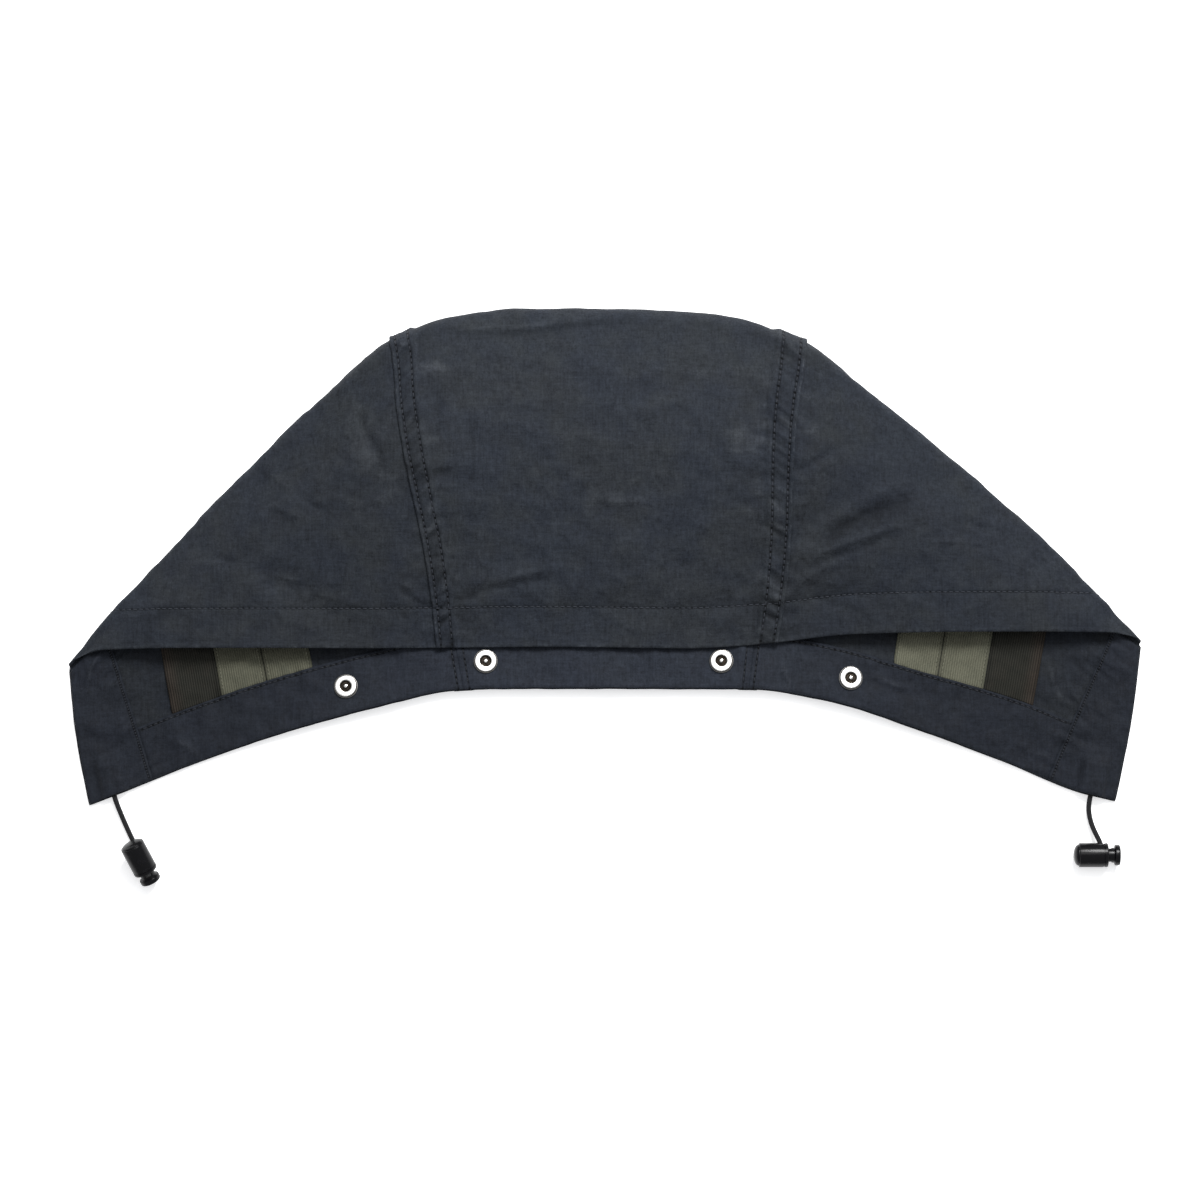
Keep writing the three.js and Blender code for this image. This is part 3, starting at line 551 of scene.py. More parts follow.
def noise(x, y, seed):
    """Smooth gradient noise from about -1 to 1 with features one unit wide."""
    x, y = np.broadcast_arrays(np.asarray(x, float), np.asarray(y, float))
    ix, iy = np.floor(x).astype(np.int64), np.floor(y).astype(np.int64)
    fx, fy = x - ix, y - iy
    total = 0
    for dx in (0, 1):
        for dy in (0, 1):
            angle = lattice(ix + dx, iy + dy, seed)
            push = np.cos(angle) * (fx - dx) + np.sin(angle) * (fy - dy)
            total = total + push * smooth(1 - np.abs(fx - dx)) * smooth(1 - np.abs(fy - dy))
    return total * 1.6


def ridges(x, y, seed):
    """Noise folded into sharp ridges, from 0 in the hollows to 1 on the ridges."""
    return (1 - np.minimum(1, np.abs(noise(x, y, seed)) * 1.8)) ** 2


def seam_ripple(run, seam):
    """Fine puckers across a lapped seam, from about -1 to 1."""
    return noise((run + 0.5 * seam) / 3.6, seam / 18, 7)


def seam_rungs(run, seam):
    """Sharp small creases across a lapped seam, from 0 to 1."""
    return ridges((run + 0.5 * seam) / 6.5, seam / 30, 7)


def waves(x, y, table):
    """Summed waves of a table."""
    total = 0
    for height, wide, long, seed, lift in table:
        total = total + height * (noise(x / wide, y / long, seed) + lift)
    return total


def pucker(name, run, off):
    """Height of the puckers by that name, along a row and off it."""
    height, long, wide, seed, middle, reach = PUCKERS[name]
    return height * noise(run / long, off / wide, seed) * bell((off - middle) / reach)


def crease_heights(x, y, table):
    """Summed heights of the creases in a table."""
    total = np.zeros_like(x)
    for start, middle, end, width, height in table:
        length = math.dist(start, middle) + math.dist(middle, end)
        near = np.hypot(x - middle[0], y - middle[1]) < length
        px, py = x[near], y[near]
        best = np.full(px.shape, 1e9)
        run = np.zeros(px.shape)
        passed = 0
        for (ax, ay), (bx, by) in ((start, middle), (middle, end)):
            size = math.hypot(bx - ax, by - ay)
            t = np.clip(((px - ax) * (bx - ax) + (py - ay) * (by - ay)) / size**2, 0, 1)
            away = np.hypot(px - ax - t * (bx - ax), py - ay - t * (by - ay))
            run = np.where(away < best, (passed + t * size) / length, run)
            best = np.minimum(best, away)
            passed += size
        taper = np.sin(math.pi * np.clip(run * 0.86 + 0.07, 0, 1)) ** 0.7
        profile = np.exp(-np.abs(best / width) ** 1.5)
        total[near] += height * taper * profile
    return total


def snap_quiet(x, y):
    """0 on the snaps and 1 away from them."""
    quiet = np.ones_like(x)
    for at in SNAPS:
        centre = lower_at(at, SNAP_INSET)
        quiet = quiet * (1 - np.exp(-((np.hypot(x - centre[0], y - centre[1]) / 9) ** 4)))
    return quiet


def lower_at(at, distance):
    """Shell point at a distance in from the neck edge, before crumpling."""
    line = section(np.array(float(at)))
    return lower_point(line, distance)


def upper_crumple(at, v, x, y):
    """How far the upper layer's cloth stands out of its smooth form."""
    crackle = 0.55 * ridges(x / 30 + 0.3 * noise(x / 22, y / 22, 5), y / 24, 4) - 0.08
    slant = (x + 1.6 * y) / 22, (1.6 * x - y) / 48
    crackle = crackle + 0.34 * ridges(*slant, 6) * smooth(0.5 + noise(x / 35, y / 30, 14)) - 0.06
    away = 1 - 0.55 * bell(hem_mm(at, v) / 10)
    creases = CREASE_DEPTH * crease_heights(x, y, CREASES)
    small = (waves(x, y, UPPER_WAVES) + crackle) * away
    return (small + creases + seam_relief(at, v) + hem_relief(at, v)) * (1 - corner(at))


def seam_relief(at, v):
    """Grooves, rungs and puckers on and beside a lapped seam."""
    seam, run = seam_mm(at), run_mm(v)
    inside = smooth(seam)
    ladder = 0.85 * seam_ripple(run, seam) + 0.60 * noise((run + 0.5 * seam) / 7.2, seam / 14, 8)
    ladder = ladder - 0.7 * seam_rungs(run, seam)
    grooves = sum(-0.55 * bell((seam - row) / 0.95) for row in SEAM_ROWS)
    within = ladder * seam_band(seam) + pucker("centre panel", run, seam) + grooves
    return inside * within + (1 - inside) * pucker("side panel", run, seam)


def hem_relief(at, v):
    """Groove, puckers and waves along the face-opening hem."""
    hem, across = hem_mm(at, v), across_mm(at)
    groove = -0.30 * bell((hem - HEM_ROW) / 1.1)
    wave = (0.45 * noise(across / 48, 0.5, 12) + 0.18 * noise(across / 17, 0.5, 13)) * bell(hem / 13)
    line = -0.14 * bell((hem - HEM_LINE) / 0.8)
    return groove + pucker("hem", across, hem) + wave + line


def lower_crumple(at, v, x, y):
    """How far the lower layer's cloth stands up off the surface that it lies on."""
    soft = waves(x, y, LOWER_WAVES) + 0.6 * ridges((x + y) / 24, (x - y) / 30, 26)
    creases = CREASE_DEPTH * crease_heights(x, y, INNER_CREASES)
    run = run_mm(v)
    seam = seam_mm(at)
    tunnel = pucker("tunnel", run, tunnel_mm(at, v))
    neck = pucker("neck", across_mm(at), neck_row_mm(at, v))
    band = 0.22 * noise(run / 3.4, seam / 16, 25) * np.exp(-(((seam - 5) / 5) ** 4))
    return np.maximum(0, soft + creases + tunnel + neck + band) * snap_quiet(x, y)


def crumple(at, v, point):
    """Outward offset of the crumpled cloth."""
    x, y = point[..., 0], point[..., 1]
    above = smooth((v - 1.05) / 0.9)
    return above * upper_crumple(at, v, x, y) - (1 - above) * lower_crumple(at, v, x, y)


def surface(at, v, depth=0.0):
    """Points of the cloth, depth inside the shell's crumpled outer side."""
    at, v, depth = (np.array(a, float) for a in np.broadcast_arrays(at, v, depth))
    point = base_point(at, v)
    return point + base_normal(at, v) * (crumple(at, v, point) - depth)[..., None]


# Meshes.

# How round a cloth's edge is, as a share of its wall, and the angles in degrees above which an edge
# of cloth, of a cord lock or of a snap is shaded sharp.
EDGE_ROUNDING = 0.42
CLOTH_SHARP = 65
LOCK_SHARP = 28
SNAP_SHARP = 38

# Rows of points of a shell panel: over the neck's depth, the rest of the lower layer, the fold's
# turn, the upper layer and its hem.
PANEL_ROWS = SimpleNamespace(neck=15, lower=52, turn=15, upper=115, hem=18)


def close_sheet(outside, inside):
    """Vertices, faces and rim of a closed sheet with rounded edges between two grids of points."""
    rows, columns = outside.shape[:2]
    count = rows * columns
    index = np.arange(count).reshape(rows, columns)
    rim = np.concatenate([index[0, :-1], index[:-1, -1], index[-1, :0:-1], index[:0:-1, 0]])
    inner = np.clip(rim // columns, 1, rows - 2) * columns + np.clip(rim % columns, 1, columns - 2)
    outside, inside = outside.reshape(-1, 3), inside.reshape(-1, 3)
    wall = np.linalg.norm(outside[rim] - inside[rim], axis=1, keepdims=True)
    bulge = unit(outside[rim] - outside[inner]) * wall * EDGE_ROUNDING
    vertices = np.concatenate([outside, inside, (outside[rim] + inside[rim]) / 2 + bulge])
    a, b, c, d = index[:-1, :-1], index[:-1, 1:], index[1:, 1:], index[1:, :-1]
    ring = 2 * count + np.arange(len(rim))
    next_ring, next_rim = np.roll(ring, -1), np.roll(rim, -1)
    faces = np.concatenate([
        np.stack([a, d, c, b], axis=-1).reshape(-1, 4),
        np.stack([a, b, c, d], axis=-1).reshape(-1, 4) + count,
        np.stack([rim, next_rim, next_ring, ring], axis=-1),
        np.stack([ring, next_ring, next_rim + count, rim + count], axis=-1),
    ])
    return vertices, faces, rim


def make_piece(name, vertices, faces, material, facts=None, sharp=CLOTH_SHARP):
    """A smooth-shaded mesh object from millimetre points, with a number per point for each fact."""
    mesh = bpy.data.meshes.new(name)
    mesh.from_pydata((np.asarray(vertices) * MM).tolist(), [], [[int(i) for i in face] for face in faces])
    for fact, values in (facts or {}).items():
        attribute = mesh.attributes.new(fact, "FLOAT", "POINT")
        attribute.data.foreach_set("value", np.asarray(values, np.float32).ravel())
    mesh.shade_smooth()
    mesh.set_sharp_from_angle(angle=math.radians(sharp))
    mesh.materials.append(material)
    piece = bpy.data.objects.new(name, mesh)
    bpy.context.scene.collection.objects.link(piece)
    return piece


def on_top(v):
    """1 on the upper layer and 0 on the lower one."""
    return smooth((v - 1.6) / 0.6)


def shade(at, v):
    """Share of its colour that the cloth keeps: less inside the hood and in the small creases that the
    seams draw, which is painted shade, and less on the side panels' upper layer."""
    aside = np.abs(at - 1.5)
    upper = on_top(v)
    # Painted shade inside the hood, towards its ends.
    inside = 0.33 * smooth((aside - 0.3) / 0.75) * (1 - smooth(v - 0.6))
    outside = 0.12 * smooth((aside - 0.48) / 0.2) * upper
    seam, run = seam_mm(at), run_mm(v)
    # Painted shade in the small creases across and beside the lapped seams.
    rungs = 0.24 * seam_band(seam) * seam_rungs(run, seam)
    drawn = 0.16 * ridges((run + 0.7 * seam) / 10, seam / 40, 15) * bell((seam + 7) / 9)
    drawn = drawn + 0.13 * ridges((run - 0.5 * seam) / 11, seam / 40, 16) * bell((seam - 17) / 9)
    return (1 - inside - outside) * (1 - (rungs + drawn) * upper)


def wear_light_and_shade(at, v, x, y):
    """Marks from -1, dark, to 1, pale: painted shade in crease valleys, seam puckers and the darker
    places; crease ridges and seam puckers paler with rubbing and painted highlight; the fold's edge paler
    with rubbing and painted highlight; and the paler places.
    """
    upper = on_top(v)
    # Creases of the upper layer: painted shade in their valleys, and ridges paler with rubbing and painted
    # highlight.
    total = crease_heights(x, y, CREASES) * 0.9 * upper
    # Creases of the lower layer, painted in light and shade, as the lamps hardly show their relief.
    total = total + crease_heights(x, y, INNER_CREASES) * 1.3 * (1 - upper)
    # Paler places, and darker places of painted shade along the folds.
    for middle_x, middle_y, run, width, turn, strength in PALE_AND_SHADED_PLACES:
        along, aside = turned_about(x, y, middle_x, middle_y, turn)
        along, aside = along / run, aside / width
        total = total + upper * strength * np.exp(-(along**2) - aside**2)
    seam, run = seam_mm(at), run_mm(v)
    # Painted shade and painted highlight of the puckers in and beside the lapped seams.
    total = total + 1.1 * seam_band(seam) * (seam_ripple(run, seam) + 0.1) * upper
    beside = bell((seam + 3) / 5) + bell((seam - 13) / 6)
    total = total + 0.6 * beside * noise(run / 5.5, seam / 22, 9) * upper
    # The fold's edge, paler with rubbing and painted highlight.
    rub_and_glint = 0.5 + 0.5 * noise(x / 9, y / 9, 31)
    total = total + 0.55 * rub_and_glint * bell((v - 1.55) / 0.28)
    return np.clip(total, -1, 1)


def cloth_sheet(name, at, v, outer, inner, material, extra=None):
    """A closed sheet of cloth over a grid of at and v, with the facts that its finish reads."""
    at, v = (np.array(a, float) for a in np.broadcast_arrays(at, v))
    vertices, faces, rim = close_sheet(surface(at, v, outer), surface(at, v, inner))
    point = base_point(at, v)
    grids = {
        "seam_mm": seam_mm(at), "run_mm": run_mm(v), "hem_mm": hem_mm(at, v),
        "across_mm": across_mm(at), "tunnel_mm": tunnel_mm(at, v), "neck_row_mm": neck_row_mm(at, v),
        "wear_and_painted_light": wear_light_and_shade(at, v, point[..., 0], point[..., 1]), "shade": shade(at, v),
    }
    grids.update(extra or {})
    facts = {}
    for fact, grid in grids.items():
        flat = np.broadcast_to(grid, at.shape).ravel()
        facts[fact] = np.concatenate([flat, flat, flat[rim]])
    return make_piece(name, vertices, faces, material, facts)


def joined_steps(*stops):
    """Numbers that run through several stretches, each given as its end and its number of steps."""
    values = [np.array([stops[0]], float)]
    for end, count in stops[1:]:
        values.append(np.linspace(values[-1][-1], end, count + 1)[1:])
    return np.concatenate(values)


def panel_grid(ats):
    """at and v of a shell panel's points, with rows on the neck, fold, hem stitches and hem edge."""
    line = section(ats)
    hem_start = np.maximum(LEAST_HEM_START, 1 - HEM_ROW / line.flat)
    rows = [distance / line.reach for distance in np.linspace(0, NECK_DEPTH, PANEL_ROWS.neck)]
    past_neck = line.reach - NECK_DEPTH
    for share in np.linspace(0, 1, PANEL_ROWS.lower)[1:]:
        rows.append((NECK_DEPTH + past_neck * share) / line.reach)
    rows += [1 + share + 0 * ats for share in np.linspace(0, 1, PANEL_ROWS.turn)[1:]]
    rows += [2 + hem_start * share for share in np.linspace(0, 1, PANEL_ROWS.upper)[1:]]
    rows += [2 + hem_start + (1 - hem_start) * share for share in np.linspace(0, 1, PANEL_ROWS.hem)[1:]]
    v = np.stack(rows)
    return np.broadcast_to(ats, v.shape), v


def turned(profile, sides):
    """Vertices and faces of a piece turned about Z, from radius and height pairs that start and
    end on the axis."""
    angles = np.arange(sides) * 2 * math.pi / sides
    ring = np.stack([np.cos(angles), np.sin(angles)], axis=-1)
    inner = profile[1:-1]
    vertices = [(0, 0, profile[0][1])]
    for radius, height in inner:
        vertices += [(x * radius, y * radius, height) for x, y in ring]
    vertices.append((0, 0, profile[-1][1]))
    faces = []
    last = len(vertices) - 1
    for k in range(sides):
        after = (k + 1) % sides
        faces.append((0, 1 + after, 1 + k))
        faces.append((last, last - sides + k, last - sides + after))
        for j in range(len(inner) - 1):
            a, b = 1 + j * sides + k, 1 + j * sides + after
            faces.append((a, b, b + sides, a + sides))
    return np.array(vertices, float), faces


def arc(radius, height, size, start, end, count=6):
    """Points of a rounded corner about a radius and height; angles in degrees from outwards."""
    angles = np.radians(np.linspace(start, end, count))
    return [(radius + size * math.cos(a), height + size * math.sin(a)) for a in angles]


def capsules(starts, ends, ups, radius, arch):
    """Vertices and faces of stitches as short bent rods between pairs of points."""
    sides = 6
    shares = np.array([0.0, 0.14, 0.5, 0.86, 1.0])
    sizes = np.array([0.45, 0.9, 1.0, 0.9, 0.45]) * radius
    rise = np.array([-0.7, 0.4, 1.0, 0.4, -0.7]) * arch
    way = unit(ends - starts)
    aside = unit(np.cross(ups, way))
    ups = np.cross(way, aside)
    angles = np.arange(sides) * 2 * math.pi / sides
    length = (ends - starts)[:, None]
    middle = starts[:, None] + length * shares[None, :, None] + ups[:, None] * rise[None, :, None]
    around = (
        np.cos(angles)[None, None, :, None] * aside[:, None, None]
        + np.sin(angles)[None, None, :, None] * ups[:, None, None]
    )
    rods = middle[:, :, None] + around * sizes[None, :, None, None]
    size = sides * len(shares)
    k = np.arange(sides)
    after = (k + 1) % sides
    faces = []
    for low in range(0, size - sides, sides):
        high = low + sides
        faces.append(np.stack([low + k, low + after, high + after, high + k], axis=-1))
    first = np.arange(len(starts)) * size
    every = (np.concatenate(faces)[None] + first[:, None, None]).reshape(-1, 4).tolist()
    for number in first.tolist():
        every.append([number + i for i in reversed(range(sides))])
        every.append([number + size - sides + i for i in range(sides)])
    return rods.reshape(-1, 3), every


# Finishes.

class Value:
    """A number that varies over a surface. Arithmetic on it adds Math nodes."""

    def __init__(self, finish, socket):
        self.finish = finish
        self.socket = socket

    def __add__(self, other):
        return self.finish.maths("ADD", self, other)

    def __radd__(self, other):
        return self.finish.maths("ADD", other, self)

    def __sub__(self, other):
        return self.finish.maths("SUBTRACT", self, other)

    def __rsub__(self, other):
        return self.finish.maths("SUBTRACT", other, self)

    def __mul__(self, other):
        return self.finish.maths("MULTIPLY", self, other)

    def __rmul__(self, other):
        return self.finish.maths("MULTIPLY", other, self)

    def __truediv__(self, other):
        return self.finish.maths("DIVIDE", self, other)

    def __abs__(self):
        return self.finish.maths("ABSOLUTE", self)


class Finish:
    """A material and the few ways in which its nodes are made."""

    def __init__(self, name):
        self.material = bpy.data.materials.new(name)
        self.material.use_nodes = True
        self.tree = self.material.node_tree
        self.shader = self.tree.nodes["Principled BSDF"]
        self.place = self.node("TexCoord").outputs["Object"]

    def node(self, kind, settings=None, inputs=None):
        made = self.tree.nodes.new("ShaderNode" + kind)
        for key, setting in (settings or {}).items():
            setattr(made, key, setting)
        for key, given in (inputs or {}).items():
            self.feed(made.inputs[key], given)
        return made

    def feed(self, socket, given):
        """Links a socket to a value or another socket, or sets its number or colour."""
        if isinstance(given, Value):
            given = given.socket
        if isinstance(given, bpy.types.NodeSocket):
            self.tree.links.new(given, socket)
        else:
            socket.default_value = given

    def maths(self, operation, *numbers):
        made = self.node("Math", {"operation": operation}, dict(enumerate(numbers)))
        return Value(self, made.outputs[0])

    def fact(self, name):
        """A number stored on the mesh's points."""
        made = self.node("Attribute", {"attribute_name": name})
        return Value(self, made.outputs["Fac"])

    def noise(self, size_mm, stretch=(1, 1, 1), detail=2.0, roughness=0.5, shift=0.0):
        """Noise from 0 to 1 with features of that size in millimetres."""
        moved = self.node("VectorMath", {"operation": "MULTIPLY_ADD"}, {
            0: self.place, 1: stretch, 2: (shift, shift, shift),
        })
        made = self.node("TexNoise", {}, {
            "Vector": moved.outputs[0], "Scale": 1 / (size_mm * MM),
            "Detail": detail, "Roughness": roughness,
        })
        return Value(self, made.outputs["Fac"])

    def step(self, value, low, high):
        """0 below low and 1 above high, smooth between them; falls where high is below low."""
        made = self.node("MapRange", {"interpolation_type": "SMOOTHSTEP"}, {
            "Value": value, "From Min": low, "From Max": high,
        })
        return Value(self, made.outputs["Result"])

    def mix(self, factor, first, second, blend="MIX"):
        """A colour between two colours."""
        inputs = {0: factor}
        for number, colour in ((6, first), (7, second)):
            linked = isinstance(colour, bpy.types.NodeSocket)
            inputs[number] = colour if linked else (*colour, 1.0)
        made = self.node("Mix", {"data_type": "RGBA", "blend_type": blend}, inputs)
        return made.outputs[2]

    def dim(self, colour, level):
        """A colour times a number that varies."""
        grey = self.node("CombineColor", {}, {0: level, 1: level, 2: level})
        return self.mix(1.0, colour, grey.outputs[0], "MULTIPLY")

    def place_axes(self):
        """How far along X and along Y a point lies, as two values."""
        axes = self.node("SeparateXYZ", {}, {0: self.place})
        return Value(self, axes.outputs[0]), Value(self, axes.outputs[1])

    def sine(self, phase):
        """Regular waves from -1 to 1, one for each 2 pi of the phase."""
        return self.maths("SINE", phase)

    def complete(self, colour, roughness, height=None, **constants):
        """Feeds the shader: colour and roughness may vary, height is a bump in millimetres."""
        self.feed(self.shader.inputs["Base Color"], colour)
        self.feed(self.shader.inputs["Roughness"], roughness)
        for name, number in constants.items():
            self.shader.inputs[name.replace("_", " ")].default_value = number
        if height is not None:
            bump = self.node("Bump", {}, {"Height": height, "Strength": 1.0, "Distance": MM})
            self.feed(self.shader.inputs["Normal"], bump.outputs[0])
        return self.material


# Pitches of the fine patterns in millimetres: the cloth's threads, a tape's ribs and picks, and the
# cord's strands.
WEAVE_PITCH = 0.55
RIB_PITCH = 1.05
PICK_PITCH = 0.8
STRAND_PITCH = 0.8


def stitch_marks(finish, rows, pitch):
    """Masks of the sewn grooves and of the needle holes along rows of stitches, which take painted shade
    and bumps. A row is the fact that it follows, its place, the fact that runs along it, its strength and
    its holes' size."""
    groove, hole = None, None
    tension = finish.step(finish.noise(4, detail=3.0, shift=9.7), 0.3, 0.62)
    for fact, place, along, strength, wide in rows:
        off = abs(finish.fact(fact) - place)
        phase = finish.maths("FRACT", finish.fact(along) / pitch)
        from_end = finish.maths("MINIMUM", phase, 1 - phase) * pitch
        line = finish.step(off, 0.9, 0.1) * strength
        dot = finish.step(finish.maths("SQRT", off * off + from_end * from_end), wide, wide / 3)
        dot = dot * (0.3 + 0.7 * tension) * strength
        groove = line if groove is None else finish.maths("MAXIMUM", groove, line)
        hole = dot if hole is None else finish.maths("MAXIMUM", hole, dot)
    return groove, hole


def cloth_finish(name, colours, sizes, cool, warm, rows, edge_wear_and_highlight=False):
    """Garment-dyed cotton: plain weave, slubs, cloudy colour, seam and hem edges paler with rubbing and
    painted highlight, painted shade and highlight on creases and puckers, and painted shade in the
    stitches.
    """
    finish = Finish(name)
    clouds = finish.step(finish.noise(30, detail=3.0, roughness=0.6), 0.36, 0.66)
    patches = finish.step(finish.noise(9, detail=3.0, roughness=0.6, shift=3.1), 0.3, 0.7)
    streaks = finish.noise(0.8, stretch=(1, 0.06, 1), detail=2.0, shift=1.7)
    slubs = finish.noise(0.9, stretch=(0.08, 1, 1), detail=2.0, shift=5.3)
    fine = finish.noise(0.75, detail=2.0, roughness=0.7, shift=2.2)
    mottle = finish.noise(2.4, detail=3.0, roughness=0.65, shift=7.3)
    tone = finish.mix(clouds * 0.6 + patches * 0.4, cool, warm)
    level = 0.90 + 0.22 * patches + 0.75 * (streaks - 0.5) + 0.50 * (slubs - 0.5) + 1.0 * (fine - 0.5)
    level = level + 0.95 * (mottle - 0.5)
    # Rubbing, painted shade and painted highlight from the mesh, with random clouds: pale mixes in the
    # paler colour, and dark is mostly painted shade.
    wear_and_painted_light = finish.fact("wear_and_painted_light") + 0.5 * (patches - 0.5)
    pale = finish.step(wear_and_painted_light, 0.15, 1.0) * 0.24
    dark = finish.step(wear_and_painted_light, -0.15, -1.0) * 0.36
    groove, hole = stitch_marks(finish, rows, sizes.stitch_pitch / MM)
    if edge_wear_and_highlight:
        # Seam and hem edges paler, partly rubbed and partly painted highlight.
        seam = finish.fact("seam_mm")
        rub_and_glint = finish.step(finish.noise(4.2, detail=4.0, roughness=0.6, shift=8.0), 0.46, 0.68)
        edge = finish.step(seam, 0.0, 0.2) * finish.step(seam, 1.1, 0.4)
        pale = finish.maths("MAXIMUM", pale, edge * 0.34 * rub_and_glint)
        hem_edge = finish.step(finish.fact("hem_mm"), 1.2, 0.1)
        pale = finish.maths("MAXIMUM", pale, hem_edge * 0.25 * rub_and_glint)
    # Painted shade: from the shade fact, from the dark marks, along the sewn grooves and in the needle
    # holes.
    level = level * finish.fact("shade") * (1 - dark) * (1 - 0.34 * groove) * (1 - 0.85 * hole)
    colour = finish.dim(finish.mix(pale, tone, tuple(colours.worn_and_lit_cloth)), level)
    x, y = finish.place_axes()
    warp = finish.sine(x * (2 * math.pi / (WEAVE_PITCH * MM)))
    weft = finish.sine(y * (2 * math.pi / (WEAVE_PITCH * MM)))
    crumbs = finish.noise(2.6, detail=3.0, roughness=0.62, shift=4.4)
    swells = finish.noise(9, detail=2.0, shift=6.1)
    height = (
        0.020 * warp * weft + 0.05 * streaks + 0.04 * slubs + 0.30 * crumbs + 0.60 * swells
        - 0.16 * groove - 0.22 * hole
    )
    roughness = 0.70 + 0.14 * patches - 0.10 * pale
    return finish.complete(
        colour, roughness, height,
        Specular_IOR_Level=0.12, Sheen_Weight=0.02, Sheen_Roughness=0.5,
    )


def tape_finish(name, base, edge_tone, rusty):
    """Ribbed woven tape, with ribs along it and tighter, raised selvedges that are darkened with painted
    shadow along the sides. rusty warms its outer side.
    """
    finish = Finish(name)
    across = finish.fact("tape_mm")
    along = finish.fact("run_mm")
    rib = finish.sine(across * (2 * math.pi / RIB_PITCH))
    pick = finish.sine(along * (2 * math.pi / PICK_PITCH) + across * 2.4)
    clouds = finish.noise(7, detail=3.0, roughness=0.6)
    fuzz = finish.noise(0.6, detail=2.0)
    selvedge_and_shadow = finish.step(finish.fact("from_side_mm"), 1.3, 0.6)
    outer = finish.step(across, 7.0, 0.5) * rusty
    faded = finish.step(clouds, 0.42, 0.72) * (0.8 - 0.6 * rusty) + outer * 0.8
    weave = 1 + 0.9 * rusty
    level = 0.86 + 0.19 * weave * rib + 0.17 * weave * pick + 0.55 * (fuzz - 0.5) + 0.22 * clouds
    # Painted shadow along the tape's sides.
    level = level - 0.24 * selvedge_and_shadow
    # Painted shade inside the hood.
    level = level * finish.fact("shade")
    colour = finish.dim(finish.mix(faded, base, edge_tone), level)
    height = 0.09 * rib + 0.05 * pick + 0.08 * fuzz + 0.1 * selvedge_and_shadow
    return finish.complete(colour, 0.72 + 0.1 * fuzz, height, Specular_IOR_Level=0.12)


def scaled(colour, share):
    """A colour made darker or lighter."""
    return tuple(min(1, channel * share) for channel in colour)


def thread_finish(name, colour):
    """Sewing thread with a slight twist."""
    finish = Finish(name)
    twist = finish.noise(0.35, detail=1.0)
    tone = finish.mix(twist, scaled(colour, 0.7), scaled(colour, 1.35))
    return finish.complete(tone, 0.62 + 0.1 * twist, 0.05 * twist, Specular_IOR_Level=0.35)


def metal_finish(name, colour):
    """Satin nickel, darker in its well, with painted shadow round the ring on its flange and outer wall.
    """
    finish = Finish(name)
    tarnish_and_shade = finish.fact("tarnish_and_shade")
    scuff = finish.noise(1.4, detail=3.0, roughness=0.65)
    brushed = finish.noise(0.25, detail=1.0)
    # The darker colour of the well, and of the painted shadow round the ring.
    stain_and_shade = finish.mix(finish.step(scuff, 0.3, 0.7), paint(24, 21, 19), paint(62, 56, 49))
    plate = finish.mix(finish.step(scuff, 0.55, 0.75) * 0.2, colour, paint(196, 194, 190))
    roughness = 0.20 + 0.12 * scuff + 0.2 * tarnish_and_shade
    height = 0.012 * brushed + 0.01 * scuff
    return finish.complete(finish.mix(tarnish_and_shade, plate, stain_and_shade), roughness, height, Metallic=1.0)


def cord_finish(name, colour):
    """Braided elastic cord: slanting strands round the cord and along it."""
    finish = Finish(name)
    x, y = finish.place_axes()
    one_way = finish.sine((x + y) * (2 * math.pi / (STRAND_PITCH * MM)))
    other_way = finish.sine((x - y) * (2 * math.pi / (STRAND_PITCH * MM)))
    strands = finish.maths("MAXIMUM", one_way, other_way)
    fuzz = finish.noise(0.5, detail=2.0)
    tone = finish.mix(finish.step(strands, -0.4, 1.0), scaled(colour, 0.45), colour)
    return finish.complete(tone, 0.66 + 0.1 * fuzz, 0.07 * strands + 0.04 * fuzz, Specular_IOR_Level=0.3)


def plastic_finish(name, colour):
    """Satin moulded plastic with a fine grain and rubbed edges."""
    finish = Finish(name)
    grain = finish.noise(0.35, detail=2.0)
    scuff = finish.noise(3.0, detail=4.0, roughness=0.7)
    mark = finish.step(scuff, 0.52, 0.72)
    tone = finish.mix(mark * 0.6, colour, scaled(colour, 2.2))
    roughness = 0.19 + 0.16 * mark + 0.06 * grain
    return finish.complete(tone, roughness, 0.012 * grain + 0.03 * scuff, Specular_IOR_Level=0.17)


def floor_finish(name, colour):
    """Pale matt board that glows a little, so that the shadows on it stay soft."""
    finish = Finish(name)
    speckle = finish.noise(2.0, detail=2.0)
    tone = finish.mix(speckle * 0.05, colour, scaled(colour, 0.97))
    finish.shader.inputs["Emission Color"].default_value = (1, 1, 1, 1)
    return finish.complete(tone, 0.9, Specular_IOR_Level=0.1, Emission_Strength=0.5)


# What a user may change.

def colour_property(name, description, default):
    return bpy.props.FloatVectorProperty(
        name=name, description=description, subtype="COLOR", size=3, min=0.0, max=1.0, default=default,
    )


def length_property(name, description, default):
    return bpy.props.FloatProperty(
        name=name, description=description, subtype="DISTANCE", unit="LENGTH", min=0.0, default=default,
        precision=5,
    )


class HoodSizes(bpy.types.PropertyGroup):
    """Sizes of the sewing and the view."""

    stitch_pitch: length_property("Stitch pitch", "Distance from stitch to stitch", 2.8 * MM)
    stitch_thread: length_property("Thread", "Diameter of the sewing thread", 0.5 * MM)
    camera_height: length_property("Camera height", "Distance of the camera from the hood", 2.0)
    frame_width: length_property("Frame width", "Width of the picture at the hood", 0.5735)
    camera_lean: bpy.props.FloatProperty(
        name="Camera lean", description="Angle of the view from straight down, towards the neck edge",
        subtype="ANGLE", default=math.radians(3.5),
    )


